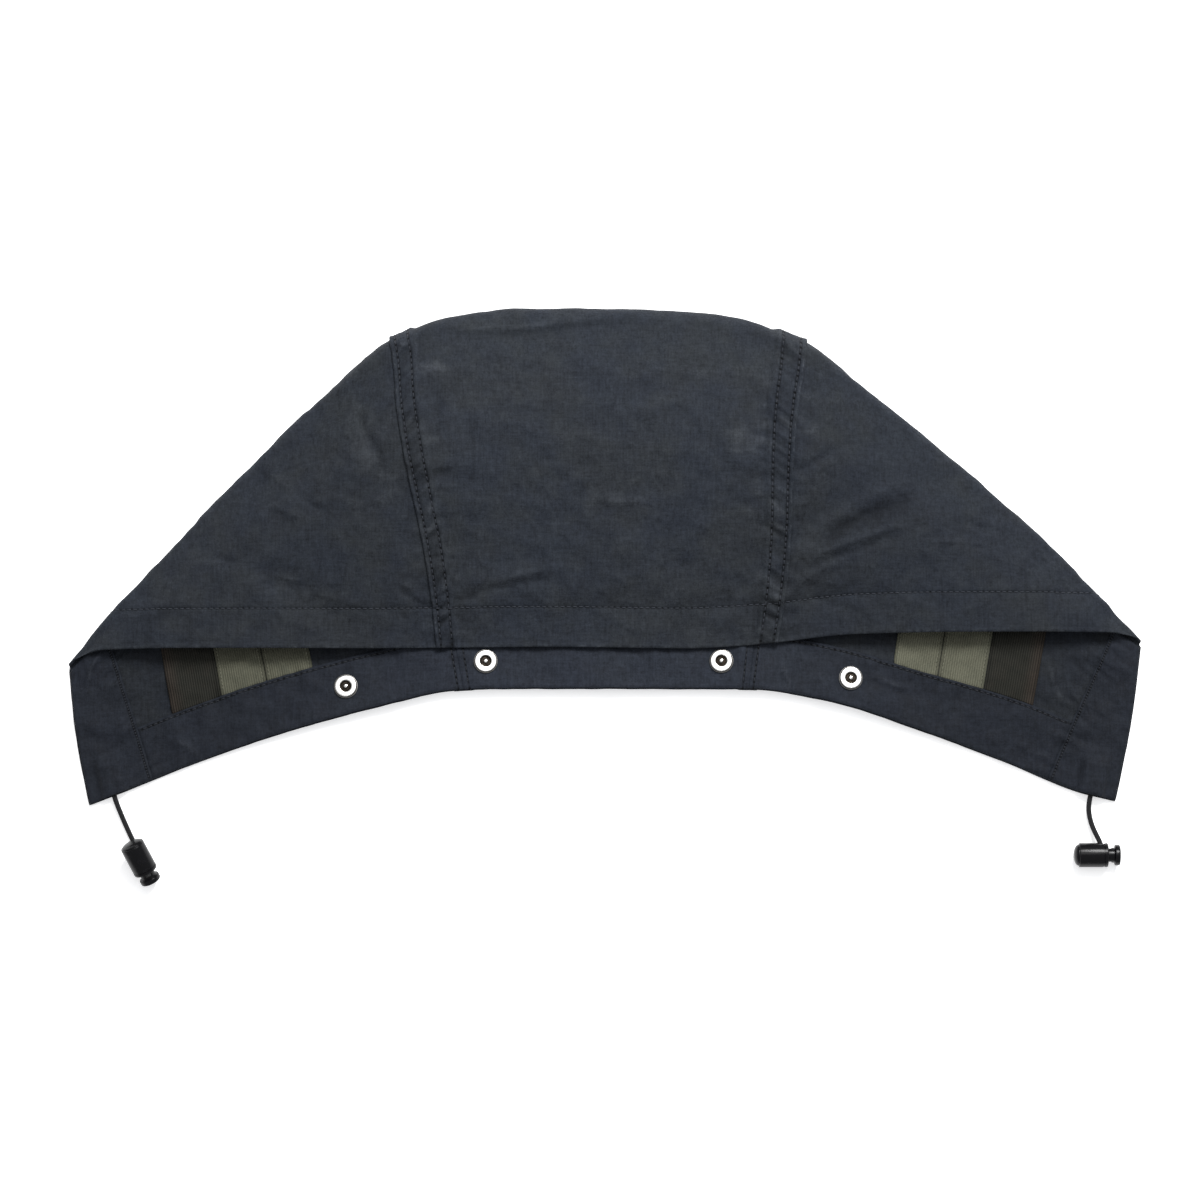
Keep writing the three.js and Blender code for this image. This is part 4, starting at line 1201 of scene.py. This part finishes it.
class HoodColours(bpy.types.PropertyGroup):
    """Colours of the hood's materials."""

    cool_cloth: colour_property("Cool cloth", "Blue-grey of the dyed cloth", paint(35, 39.5, 47.5))
    warm_cloth: colour_property("Warm cloth", "Greener grey of the faded cloth", paint(39.5, 42.5, 46))
    # The paler colour of rubbed creases and seam edges, also painted as highlight on crease ridges,
    # puckers and edges.
    worn_and_lit_cloth: colour_property("Worn cloth", "Rubbed creases and seam edges", paint(78, 82, 88))
    facing_cloth: colour_property("Facing", "Inside facings", paint(34, 38, 46.5))
    thread: colour_property("Thread", "Sewing thread", paint(41, 44, 52))
    olive: colour_property("Olive tape", "Woven tape", paint(98, 98, 84))
    olive_shade: colour_property("Olive tape, darker", "Woven tape in its hollows", paint(84, 85, 73))
    brown: colour_property("Brown tape", "Dark woven tape", paint(36, 36, 32))
    brown_shade: colour_property("Brown tape, warmer", "Faded side of the dark tape", paint(49, 43, 38))
    metal: colour_property("Snaps", "Nickel plate", paint(232, 231, 228))
    cord: colour_property("Cord", "Elastic drawcord", paint(21, 21, 24))
    plastic: colour_property("Cord locks", "Moulded plastic", paint(11, 11, 13))
    floor: colour_property("Floor", "Surface that the hood lies on", (0.96, 0.96, 0.965))


# Pieces.

# The point that the camera looks at and its sensor's width in millimetres, and how near and how far
# it sees in metres.
CAMERA_TARGET = (-2.4, -21.3, 8.0)
SENSOR_WIDTH = 36
CLIP_RANGE = (0.01, 20)


def aim(thing, target):
    """Turns a camera or a lamp towards a point."""
    way = Vector(target) - thing.location
    thing.rotation_mode = "QUATERNION"
    thing.rotation_quaternion = way.to_track_quat("-Z", "Y")


class HOOD_OT_camera(bpy.types.Operator):
    """Places the camera over the hood"""

    bl_idname = "hood.camera"
    bl_label = "Add camera"

    def execute(self, context):
        sizes = context.scene.hood_sizes
        target = Vector(CAMERA_TARGET) * MM
        camera = bpy.data.objects.new("camera", bpy.data.cameras.new("camera"))
        context.scene.collection.objects.link(camera)
        lean, height = sizes.camera_lean, sizes.camera_height
        camera.location = target + Vector((0, -math.sin(lean) * height, math.cos(lean) * height))
        camera.data.sensor_width = SENSOR_WIDTH
        camera.data.lens = SENSOR_WIDTH * height / sizes.frame_width
        camera.data.clip_start, camera.data.clip_end = CLIP_RANGE
        aim(camera, target)
        context.scene.camera = camera
        return {"FINISHED"}


def lock_matrix(cord):
    """Where a cord lock lies, as a transform of points in millimetres."""
    return (
        Matrix.Translation(cord.place)
        @ Matrix.Rotation(math.radians(cord.heading), 4, "Z")
        @ Matrix.Rotation(math.radians(-cord.tilt), 4, "Y")
        @ Matrix.Rotation(math.radians(cord.quarter), 4, "X")
    )


# Sizes of a cord lock in millimetres. showing and plunge are how far the button stands out of the rim
# and reaches in, from_rim is where the cord passes and travel how far the button can be pressed. The
# turned pieces have so many sides.
BARREL = SimpleNamespace(outer=11.6, length=16.3, end_wall=2, bore=3.9)
BUTTON = SimpleNamespace(neck=7.2, flange=9.9, flange_height=2.6, showing=5.8, plunge=10.2)
CORD_HOLE = SimpleNamespace(across=4.6, from_rim=2.8, slot_height=3.45, travel=2.3)
LOCK_SIDES = 64


def on_lock(cord, points):
    """Moves points from the lock's own axes, X towards its button and Y along the cord, to its place."""
    matrix = np.array(lock_matrix(cord))
    return points @ matrix[:3, :3].T + matrix[:3, 3]


def cut_away(piece, vertices, faces):
    """Cuts a closed form out of a piece."""
    mesh = bpy.data.meshes.new("cutter")
    mesh.from_pydata((np.asarray(vertices) * MM).tolist(), [], [list(f) for f in faces])
    cutter = bpy.data.objects.new("cutter", mesh)
    bpy.context.scene.collection.objects.link(cutter)
    modifier = piece.modifiers.new("hole", "BOOLEAN")
    modifier.object = cutter
    modifier.operation = "DIFFERENCE"
    modifier.solver = "EXACT"
    bpy.context.view_layer.update()
    graph = bpy.context.evaluated_depsgraph_get()
    cut = bpy.data.meshes.new_from_object(piece.evaluated_get(graph))
    piece.modifiers.clear()
    piece.data = cut
    bpy.data.objects.remove(cutter)
    cut.shade_smooth()
    cut.set_sharp_from_angle(angle=math.radians(LOCK_SHARP))


def barrel_profile(rise):
    """Radius and height pairs of a barrel, from its closed end, which rises to a dome, into its bore."""
    outer = BARREL.outer / 2
    back = -BARREL.length
    foot = back + rise
    rim = outer - 0.75
    dome = [(rim * math.sin(a), foot - rise * math.cos(a)) for a in np.linspace(0, math.pi / 2, 14)]
    return [
        *dome, (rim, foot + 0.15), *arc(outer - 0.4, foot + 0.55, 0.4, -90, 0, 5),
        (outer, -2.1), (outer - 0.3, -1.95), (outer - 0.3, -1.65), (outer, -1.5),
        *arc(outer - 0.5, -0.5, 0.5, 0, 90, 6), (BARREL.bore + 0.2, 0), (BARREL.bore, -0.25),
        (BARREL.bore, back + BARREL.end_wall), (0, back + BARREL.end_wall),
    ]


def button_profile():
    """Radius and height pairs of a push button, from inside the barrel to its grip."""
    neck, flange = BUTTON.neck / 2, BUTTON.flange / 2
    end = BUTTON.showing
    under = end - BUTTON.flange_height
    return [
        (0, -BUTTON.plunge), (neck - 0.3, -BUTTON.plunge), (neck, -BUTTON.plunge + 0.3),
        (neck, under - 0.3), (neck + 0.3, under),
        *arc(flange - 0.5, under + 0.5, 0.5, -90, 0, 5), *arc(flange - 0.7, end - 0.7, 0.7, 0, 90, 6),
        (flange - 1.6, end), (flange - 1.8, end - 0.2), (0, end - 0.2),
    ]


def cylinder(radius, height, sides=40):
    """Vertices and faces of a round bar that stands on the origin."""
    return turned([(0, 0), (radius, 0), (radius, height), (0, height)], sides)


def box_corners(low, high):
    """Vertices and faces of a box between two corners."""
    (x0, y0, z0), (x1, y1, z1) = low, high
    vertices = [(x, y, z) for x in (x0, x1) for y in (y0, y1) for z in (z0, z1)]
    faces = [(0, 1, 3, 2), (4, 6, 7, 5), (0, 4, 5, 1), (2, 3, 7, 6), (0, 2, 6, 4), (1, 5, 7, 3)]
    return np.array(vertices, float), faces


class HOOD_OT_drawcords(bpy.types.Operator):
    """Lays the drawcord's two ends and their cord locks"""

    bl_idname = "hood.drawcords"
    bl_label = "Add drawcords and locks"

    def execute(self, context):
        colours = context.scene.hood_colours
        cord_material = cord_finish("braided_cord", tuple(colours.cord))
        plastic = plastic_finish("lock_plastic", tuple(colours.plastic))
        reach = BARREL.outer * 0.6
        near = -CORD_HOLE.from_rim - CORD_HOLE.across / 2
        far = -CORD_HOLE.from_rim + CORD_HOLE.across / 2 + CORD_HOLE.travel
        half_slot = CORD_HOLE.slot_height / 2
        for side, cord in DRAWCORDS.items():
            barrel = self.turn_lock_piece(cord, "barrel_" + side, barrel_profile(cord.dome), plastic)
            hole, faces = cylinder(CORD_HOLE.across / 2, reach)
            hole = hole[:, [0, 2, 1]] * (1, cord.enters, -cord.enters) - (CORD_HOLE.from_rim, 0, 0)
            cut_away(barrel, on_lock(cord, hole), faces)
            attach(barrel, "hood")
            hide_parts("cord_lock_barrel_" + side)

            button = self.turn_lock_piece(cord, "button_" + side, button_profile(), plastic)
            slot, faces = box_corners((near, -reach, -half_slot), (far, reach, half_slot))
            cut_away(button, on_lock(cord, slot), faces)
            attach(button, "button_" + side)
            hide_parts("cord_lock_button_" + side)

            line = self.lay_cord(context, side, cord, cord_material)
        return {"FINISHED"}

    def turn_lock_piece(self, cord, name, profile, material):
        vertices, faces = turned(profile, LOCK_SIDES)
        along = vertices[:, [2, 1, 0]] * (1, 1, -1)
        return make_piece("lock_" + name, on_lock(cord, along), faces, material, sharp=LOCK_SHARP)

    def lay_cord(self, context, side, cord, material):
        curve = bpy.data.curves.new("drawcord_" + side, "CURVE")
        curve.dimensions = "3D"
        curve.bevel_depth = CORD_DIAMETER / 2 * MM
        curve.bevel_resolution = 6
        curve.use_fill_caps = True
        curve.resolution_u = 8
        spline = curve.splines.new("BEZIER")
        spline.bezier_points.add(len(cord.points) - 1)
        for knot, point in zip(spline.bezier_points, cord.points):
            knot.co = Vector(point) * MM
            knot.handle_left_type = knot.handle_right_type = "AUTO"
        curve.materials.append(material)
        line = bpy.data.objects.new("cord_" + side, curve)
        context.scene.collection.objects.link(line)
        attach(line, "hood")
        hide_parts("drawcord_" + side)
        return line


# Rows of stitches that mark the cloth, as stitch_marks reads them.
SEAM_MARKS = tuple(("seam_mm", row, "run_mm", 1.0, 0.75) for row in SEAM_ROWS)
SHELL_MARKS = (*SEAM_MARKS, ("hem_mm", HEM_ROW, "across_mm", 0.5, 0.75))
FACING_MARKS = (
    *SEAM_MARKS,
    ("neck_row_mm", 0.0, "across_mm", 0.9, 0.9),
    ("tunnel_mm", 0.0, "run_mm", 0.75, 0.9),
)


class HOOD_OT_shell(bpy.types.Operator):
    """Sews the centre panel and the two side panels"""

    bl_idname = "hood.shell"
    bl_label = "Add shell panels"

    def execute(self, context):
        sizes, colours = context.scene.hood_sizes, context.scene.hood_colours
        cool, warm = tuple(colours.cool_cloth), tuple(colours.warm_cloth)
        cloth = cloth_finish("shell_cloth", colours, sizes, cool, warm, SHELL_MARKS, edge_wear_and_highlight=True)
        left = joined_steps(0.0, (0.9, 104), (1.0, 16), (1 + LAP_SHARE, 8))
        for name, ats in (("side_panel_left", left), ("side_panel_right", 3 - left[::-1])):
            at, v = panel_grid(ats)
            panel = cloth_sheet("cloth_" + name, at, v, 0.0, CLOTH_WALL, cloth)
            self.place(panel, name)

        lap_end = LAP_SHARE + 2 * CLOTH_GAP / CENTRE_WIDTH
        one_side = joined_steps(1.0, (1 + LAP_SHARE, 12), (1 + lap_end + DROP_SHARE, 4), (1.5, 62))
        at, v = panel_grid(np.concatenate([one_side, 3 - one_side[-2::-1]]))
        from_seam = np.minimum(at - 1, 2 - at)
        raised = LAP_RAISE * (1 - smooth((from_seam - LAP_SHARE) / (DROP_SHARE * 1.2)))
        panel = cloth_sheet("cloth_center_panel", at, v, -raised, CLOTH_WALL - raised, cloth)
        self.place(panel, "center_panel")
        return {"FINISHED"}

    def place(self, panel, node):
        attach(panel, "hood")
        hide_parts(node)


# Where the facings of a side and of the middle meet, under a lapped seam, and half their gap there.
LEFT_JOIN = 1 + LAP_SHARE / 2
RIGHT_JOIN = 3 - LEFT_JOIN
HALF_GAP = CLOTH_GAP / CENTRE_WIDTH


class HOOD_OT_facings(bpy.types.Operator):
    """Sews the facings along the neck edge, the face opening and the free edges"""

    bl_idname = "hood.facings"
    bl_label = "Add facings"

    def execute(self, context):
        sizes, colours = context.scene.hood_sizes, context.scene.hood_colours
        facing = tuple(colours.facing_cloth)
        warm = tuple(0.7 * cool + 0.3 * faded for cool, faded in zip(facing, colours.warm_cloth))
        cloth = cloth_finish("facing_cloth", colours, sizes, facing, warm, FACING_MARKS)
        self.sew_neck_strips(cloth)
        self.sew_face_strips(cloth)
        self.sew_tunnels(cloth)
        return {"FINISHED"}

    def sew_neck_strips(self, cloth):
        """The strips along the neck edge, between the tunnels."""
        down = np.linspace(0, 1, 22)[:, None]
        past_row = PAST_ROW + 2 * CLOTH_GAP / SIDE_WIDTH
        first = tunnel_row("left", down * NECK_TOPS["left"]) + past_row
        last = 3 - tunnel_row("right", down * NECK_TOPS["right"]) - past_row
        strips = (
            ("left", first, LEFT_JOIN - HALF_GAP),
            ("center", LEFT_JOIN + HALF_GAP, RIGHT_JOIN - HALF_GAP),
            ("right", RIGHT_JOIN + HALF_GAP, last),
        )
        for name, start, end in strips:
            at = start + (end - start) * np.linspace(0, 1, 120)
            at = np.broadcast_to(at, (len(down), 120))
            distances = FACING_INSET + (neck_depth(at) - FACING_INSET) * down
            self.sew("neck_facing_" + name, at, distances / section(at).reach, cloth)

    def sew_face_strips(self, cloth):
        """The strips inside the face opening's hem."""
        strips = (
            ("left", 0.05, LEFT_JOIN - HALF_GAP, 110),
            ("brow", LEFT_JOIN + HALF_GAP, RIGHT_JOIN - HALF_GAP, 100),
            ("right", RIGHT_JOIN + HALF_GAP, 2.95, 110),
        )
        for name, start, end, count in strips:
            ats = np.linspace(start, end, count)
            flat = section(ats).flat
            hem_start = np.maximum(LEAST_HEM_START, 1 - HEM_DEPTH / flat)
            hem_end = 1 - np.minimum(0.5, 0.06 * flat) / flat
            v = 2 + hem_start + (hem_end - hem_start) * np.linspace(0, 1, 18)[:, None]
            self.sew("face_facing_" + name, np.broadcast_to(ats, v.shape), v, cloth)

    def sew_tunnels(self, cloth):
        """The strips along the free edges, which rise over the cord at its mouth."""
        no_row = {"neck_row_mm": np.array(FAR_AWAY)}
        up = np.linspace(0, 1, 60)[:, None]
        for side, cord in DRAWCORDS.items():
            width = tunnel_row(side, up) + PAST_ROW - TUNNEL_INSET
            from_edge = TUNNEL_INSET + width * np.linspace(0, 1, 34)
            at = from_edge if side == "left" else 3 - from_edge[:, ::-1]
            reach = section(at).reach
            distances = FACING_INSET + (reach * TUNNEL_TOP - FACING_INSET) * up
            off = np.abs(at - cord.at) * SIDE_WIDTH
            ramp = smooth((TUNNEL_MOUTH.ramp - off) / (TUNNEL_MOUTH.ramp - TUNNEL_MOUTH.plateau))
            near = smooth((TUNNEL_MOUTH.inset * 1.5 - distances) / (TUNNEL_MOUTH.inset * 0.5))
            raised = (CORD_DIAMETER + 2 * CLOTH_GAP) * ramp * near
            self.sew("tunnel_facing_" + side, at, distances / reach, cloth, raised, no_row)

    def sew(self, node, at, v, cloth, raised=0.0, extra=None):
        strip = cloth_sheet("cloth_" + node, at, v, FACING_OUT + raised, FACING_IN + raised, cloth, extra)
        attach(strip, "hood")
        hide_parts(node)


class HOOD_OT_tapes(bpy.types.Operator):
    """Sews the woven tapes onto the inner side"""

    bl_idname = "hood.tapes"
    bl_label = "Add woven tapes"

    def execute(self, context):
        colours = context.scene.hood_colours
        olive = tape_finish("olive_tape", tuple(colours.olive), tuple(colours.olive_shade), 0.0)
        brown = tape_finish("brown_tape", tuple(colours.brown), tuple(colours.brown_shade), 1.0)
        for name, start, end in TAPES:
            for side in ("left", "right"):
                if name == "brown":
                    material, kept = brown, BROWN_SHADE
                else:
                    material, kept = olive, OLIVE_SHADES[side]
                tape = self.sew(f"inner_tape_{side}_{name}", side, start, end, material, kept)
        return {"FINISHED"}

    def sew(self, node, side, start, end, material, kept):
        ats = np.linspace(start, end, 40)
        if side == "right":
            ats = 3 - ats[::-1]
        reach = section(ats).reach
        low = neck_depth(ats) + CLOTH_GAP
        v = (low + (reach * TAPE_TOP - low) * np.linspace(0, 1, 70)[:, None]) / reach
        at = np.broadcast_to(ats, v.shape)
        across = (np.minimum(at, 3 - at) - start) * SIDE_WIDTH
        width = (end - start) * SIDE_WIDTH
        extra = {
            "tape_mm": across, "from_side_mm": np.minimum(across, width - across), "shade": np.array(kept),
        }
        tape = cloth_sheet("woven_" + node, at, v, FACING_OUT, FACING_IN, material, extra)
        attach(tape, "hood")
        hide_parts(node)
        return tape


# How far a tape's rows of stitches lie inside its sides, in panels, and how high a stitch stands at its
# middle, in millimetres.
SELVEDGE = 0.006
STITCH_ARCH = 0.14


class HOOD_OT_stitches(bpy.types.Operator):
    """Sews the rows of stitches"""

    bl_idname = "hood.stitches"
    bl_label = "Add stitches"

    def execute(self, context):
        colours = context.scene.hood_colours
        outer = self.spool(context, "thread", tuple(colours.thread))
        inner = self.spool(context, "inner_thread", scaled(colours.thread, 0.55), inside=True)
        olive = self.spool(context, "olive_thread", tuple(colours.olive), inside=True, thickness=0.8)
        for side in ("left", "right"):
            for number, row in enumerate(SEAM_ROWS, 1):
                at = self.on_side(side, 1 + row / SEAM_LAP * LAP_SHARE)
                self.along_run(f"stitches_seam_{side}_{number}", at, (0.05, 2.985), -LAP_RAISE, outer)
                top = float(neck_depth(at) / section(at).reach)
                self.along_run(f"stitches_neck_seam_{side}_{number}", at, (0.01, top), FACING_IN, inner)
            self.along_run("stitches_tunnel_" + side, side, (0.01, 0.95), FACING_IN, inner)
            for name, start, end in TAPES:
                if name == "brown":
                    continue
                for number, tape_at in enumerate((start + SELVEDGE, end - SELVEDGE), 1):
                    at = self.on_side(side, tape_at)
                    span = (float((neck_depth(at) + 1) / section(at).reach), TAPE_TOP - 0.01)
                    self.along_run(f"stitches_tape_{side}_{name}_{number}", at, span, FACING_IN, olive)
        self.along_hem("stitches_hem", outer)
        self.along_neck("stitches_neck", inner)
        return {"FINISHED"}

    def spool(self, context, name, colour, inside=False, thickness=1.0):
        """Thread of one colour and how it is sewn: pitch and radius in millimetres, and the side."""
        sizes = context.scene.hood_sizes
        return SimpleNamespace(
            pitch=sizes.stitch_pitch / MM, radius=sizes.stitch_thread / MM / 2 * thickness,
            material=thread_finish(name, colour), inside=inside,
        )

    def on_side(self, side, at):
        """The same place on the left side or mirrored on the right one."""
        return at if side == "left" else 3 - at

    def along_run(self, name, place, span, depth, spool):
        """A row that runs from the neck edge towards the hem. place is its at, or a tunnel's side."""
        low, high = run_mm(np.array(span)) / spool.pitch
        middles = (np.arange(math.ceil(low), math.floor(high)) + 0.5) * spool.pitch
        spots = []
        for way in (-HALF_STITCH, HALF_STITCH):
            v = np.interp(middles + way * spool.pitch, SEAM_STOPS, (0, 1, 2, 3))
            if place in TUNNEL_ROWS:
                at = self.on_side(place, tunnel_row(place, v))
            else:
                at = np.full(v.shape, place)
            spots.append((at, v))
        self.sew(name, spots, depth, spool)

    def along_hem(self, name, spool):
        """The row that follows the face-opening hem and runs off over the fold."""
        middles = (np.arange(1, math.floor(HEM_RUN[-1] / spool.pitch) - 1) + 0.5) * spool.pitch
        at = np.interp(middles, HEM_RUN, HEM_ATS)
        middles = middles[from_hem(at, HEM_ROW) > 1.1]
        spots = []
        for way in (-HALF_STITCH, HALF_STITCH):
            at = np.interp(middles + way * spool.pitch, HEM_RUN, HEM_ATS)
            spots.append((at, from_hem(at, HEM_ROW)))
        seam = seam_mm(spots[0][0])
        depth = np.where((seam > 0) & (seam < SEAM_LAP + 1), -LAP_RAISE, 0.0)
        self.sew(name, spots, depth, spool)

    def along_neck(self, name, spool):
        """The row along the neck facing, between the two tunnels."""
        start = tunnel_row("left", NECK_TOPS["left"]) + 0.01
        end = 3 - tunnel_row("right", NECK_TOPS["right"]) - 0.01
        first, last = across_mm(np.array((start, end))) / spool.pitch
        middles = (np.arange(math.ceil(first), math.floor(last)) + 0.5) * spool.pitch
        spots = []
        for way in (-HALF_STITCH, HALF_STITCH):
            at = np.interp(middles + way * spool.pitch, HEM_RUN, HEM_ATS)
            spots.append((at, (neck_depth(at) - NECK_ROW_INSIDE) / section(at).reach))
        self.sew(name, spots, FACING_IN, spool)

    def sew(self, name, spots, depth, spool):
        (start_at, start_v), (end_at, end_v) = spots
        ups = (-1 if spool.inside else 1) * base_normal(start_at, start_v)
        lift = ups * spool.radius * 0.25
        starts = surface(start_at, start_v, depth) + lift
        ends = surface(end_at, end_v, depth) + lift
        vertices, faces = capsules(starts, ends, ups, spool.radius, STITCH_ARCH)
        row = make_piece(name, vertices, faces, spool.material)
        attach(row, "hood")


# Sizes of a snap and its cap in millimetres, and the number of sides of both.
SNAP = SimpleNamespace(ring=10.4, hole=5.4, ring_height=1.2, flange=11.5, flange_height=0.5, shank=4.6)
SNAP_CAP = SimpleNamespace(outer=11.0, height=1.8, edge=0.9)
SNAP_SIDES = 72


def snap_matrix(at):
    """Rotation and place of a snap, from the cloth under it."""
    place = lower_at(at, SNAP_INSET)
    inwards = unit(lower_at(at, SNAP_INSET + 3) - lower_at(at, SNAP_INSET - 3))
    across = unit(lower_at(at + 0.02, SNAP_INSET) - lower_at(at - 0.02, SNAP_INSET))
    up = unit(np.cross(across, inwards))
    return np.stack([np.cross(inwards, up), inwards, up], axis=-1), place


class HOOD_OT_snaps(bpy.types.Operator):
    """Sets the four ring snaps and their caps"""

    bl_idname = "hood.snaps"
    bl_label = "Add snaps"

    def execute(self, context):
        metal = metal_finish("snap_metal", tuple(context.scene.hood_colours.metal))
        for number, at in enumerate(SNAPS, 1):
            turn, place = snap_matrix(at)
            for kind, profile in (("socket", self.socket_profile()), ("cap", self.cap_profile())):
                points = [(radius, height) for radius, height, _ in profile]
                vertices, faces = turned(points, SNAP_SIDES)
                amounts = [amount for _, _, amount in profile]
                tarnish_and_shade = [amounts[0], *np.repeat(amounts[1:-1], SNAP_SIDES), amounts[-1]]
                piece = make_piece(
                    f"snap_{kind}_{number}_turned", vertices @ turn.T + place, faces, metal,
                    {"tarnish_and_shade": tarnish_and_shade}, sharp=SNAP_SHARP,
                )
                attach(piece, "hood")
                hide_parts(f"snap_{kind}_{number}")
        return {"FINISHED"}

    def socket_profile(self):
        """Radius, height and darkening down the socket, from its shank over the ring into the well."""
        seat = FACING_IN + CLOTH_GAP
        flange_top = seat + SNAP.flange_height
        top = flange_top + SNAP.ring_height
        ring, hole, flange, shank = SNAP.ring / 2, SNAP.hole / 2, SNAP.flange / 2, SNAP.shank / 2
        floor = seat + 0.5
        # Darkening by stage: painted shadow on the flange and the ring's outer wall, and the darker well.
        stages = (
            (0.3, [(0, -0.15), (shank, -0.15), (shank, seat), (flange - 0.15, seat)]),
            (0.7, arc(flange - 0.25, seat + 0.25, 0.25, -60, 75, 6)),
            (0.95, [(flange - 0.32, flange_top), (ring + 0.2, flange_top), (ring, flange_top + 0.15)]),
            (0.6, [(ring, top - 0.5)]),
            (0.0, [*arc(ring - 0.45, top - 0.45, 0.45, 20, 88, 6), (ring - 0.9, top), (hole + 0.7, top)]),
            (0.2, arc(hole + 0.35, top - 0.35, 0.35, 90, 160, 5)),
            (1.0, [
                (hole, top - 0.4), (hole, floor + 0.55), (hole - 0.35, floor + 0.3),
                (hole - 0.5, floor + 0.3), (hole - 0.7, floor), (1.75, floor), (1.65, floor + 0.22),
                (1.35, floor + 0.22), (1.2, floor), (0.95, floor), (0.9, floor + 0.6),
            ]),
            (0.0, [(0.88, floor + 0.75), (0.78, floor + 0.98), (0.5, floor + 1.08), (0, floor + 1.1)]),
        )
        return [(radius, height, tarnish_and_shade) for tarnish_and_shade, points in stages for radius, height in points]

    def cap_profile(self):
        """Radius, height and darkening down the cap, from the cloth over its edge to its dome's middle."""
        radius = SNAP_CAP.outer / 2
        top = -CLOTH_GAP
        dome = [
            (radius * math.sin(a), top - SNAP_CAP.edge - (SNAP_CAP.height - SNAP_CAP.edge) * math.cos(a))
            for a in np.linspace(math.pi / 2, 0, 9)
        ]
        return [(r, h, 0.1) for r, h in [(0, top), (radius - 0.2, top), (radius, top - 0.2), *dome]]


# How the names of the pieces begin that are sewn on a side panel, before the side's own name.
ON_A_SIDE = (
    "cloth_neck_facing_", "cloth_face_facing_", "cloth_tunnel_facing_", "woven_inner_tape_",
    "stitches_tape_", "stitches_tunnel_",
)

# Panels as they were cut: flat width and length in metres, flat area in square metres, and how the
# names of the pieces begin that are sewn on.
CUT_PANELS = {
    "side_panel_left": (
        (0.230, 0.340), 0.0398,
        (*(start + "left" for start in ON_A_SIDE), "snap_socket_1", "snap_cap_1"),
    ),
    "center_panel": (
        (0.203, 0.358), 0.0623,
        (
            "cloth_neck_facing_center", "cloth_face_facing_brow", "stitches_seam_", "stitches_neck",
            "stitches_hem", "snap_socket_2", "snap_cap_2", "snap_socket_3", "snap_cap_3",
        ),
    ),
    "side_panel_right": (
        (0.229, 0.335), 0.0401,
        (*(start + "right" for start in ON_A_SIDE), "snap_socket_4", "snap_cap_4"),
    ),
}


class HOOD_OT_sheets(bpy.types.Operator):
    """Looks up the cloth of each panel in the table of cut panels, and does nothing more with it"""

    bl_idname = "hood.sheets"
    bl_label = "Declare sheets"

    def execute(self, context):
        for name, (flat, area, sewn_on) in CUT_PANELS.items():
            panel = bpy.data.objects["cloth_" + name]
        return {"FINISHED"}


# The floor's half size in metres. Lamps: name, place and width in metres, power in watts.
FLOOR_REACH = 12.0
LAMPS = (
    ("key", (0.55, 1.55, 1.9), 1.0, 74),
    ("overhead", (0.05, 0.75, 2.2), 1.2, 8),
)
SKY_COLOUR = (0.97, 0.98, 1.0, 1.0)
SKY_STRENGTH = 0.5


class HOOD_OT_stage(bpy.types.Operator):
    """Adds the pale floor and the soft lights"""

    bl_idname = "hood.stage"
    bl_label = "Add floor and lights"

    def execute(self, context):
        mesh = bpy.data.meshes.new("floor")
        corners = [(FLOOR_REACH * x, FLOOR_REACH * y, 0) for x, y in ((-1, -1), (1, -1), (1, 1), (-1, 1))]
        mesh.from_pydata(corners, [], [(0, 1, 2, 3)])
        mesh.materials.append(floor_finish("floor", tuple(context.scene.hood_colours.floor)))
        floor = bpy.data.objects.new("floor", mesh)
        context.scene.collection.objects.link(floor)

        for name, place, width, power in LAMPS:
            lamp = bpy.data.lights.new(name, "AREA")
            lamp.shape = "DISK"
            lamp.size = width
            lamp.energy = power
            holder = bpy.data.objects.new(name, lamp)
            holder.location = place
            context.scene.collection.objects.link(holder)
            aim(holder, (0, 0, 0))

        world = bpy.data.worlds.new("studio")
        world.use_nodes = True
        sky = world.node_tree.nodes["Background"]
        sky.inputs["Color"].default_value = SKY_COLOUR
        sky.inputs["Strength"].default_value = SKY_STRENGTH
        context.scene.world = world
        context.scene.view_settings.view_transform = "Standard"
        context.scene.view_settings.look = "None"
        return {"FINISHED"}


class HOOD_PT_build(bpy.types.Panel):
    """Lists the steps that build the hood"""

    bl_label = "Hood"
    bl_idname = "HOOD_PT_build"
    bl_space_type = "VIEW_3D"
    bl_region_type = "UI"
    bl_category = "Hood"

    def draw(self, context):
        for operator in OPERATORS:
            self.layout.operator(operator.bl_idname)
        for group in (context.scene.hood_sizes, context.scene.hood_colours):
            box = self.layout.box()
            for name in group.__annotations__:
                box.prop(group, name)


OPERATORS = (
    HOOD_OT_camera, HOOD_OT_drawcords, HOOD_OT_shell, HOOD_OT_facings, HOOD_OT_tapes,
    HOOD_OT_stitches, HOOD_OT_snaps, HOOD_OT_sheets, HOOD_OT_stage,
)
CLASSES = (HoodSizes, HoodColours, *OPERATORS, HOOD_PT_build)


def register():
    for entry in CLASSES:
        bpy.utils.register_class(entry)
    bpy.types.Scene.hood_sizes = bpy.props.PointerProperty(type=HoodSizes)
    bpy.types.Scene.hood_colours = bpy.props.PointerProperty(type=HoodColours)


def unregister():
    del bpy.types.Scene.hood_colours
    del bpy.types.Scene.hood_sizes
    for entry in reversed(CLASSES):
        bpy.utils.unregister_class(entry)


def main():
    register()
    bpy.ops.hood.camera()
    bpy.ops.hood.drawcords()
    bpy.ops.hood.shell()
    bpy.ops.hood.facings()
    bpy.ops.hood.tapes()
    bpy.ops.hood.stitches()
    bpy.ops.hood.snaps()
    bpy.ops.hood.sheets()
    bpy.ops.hood.stage()


if __name__ == "__main__":
    main()
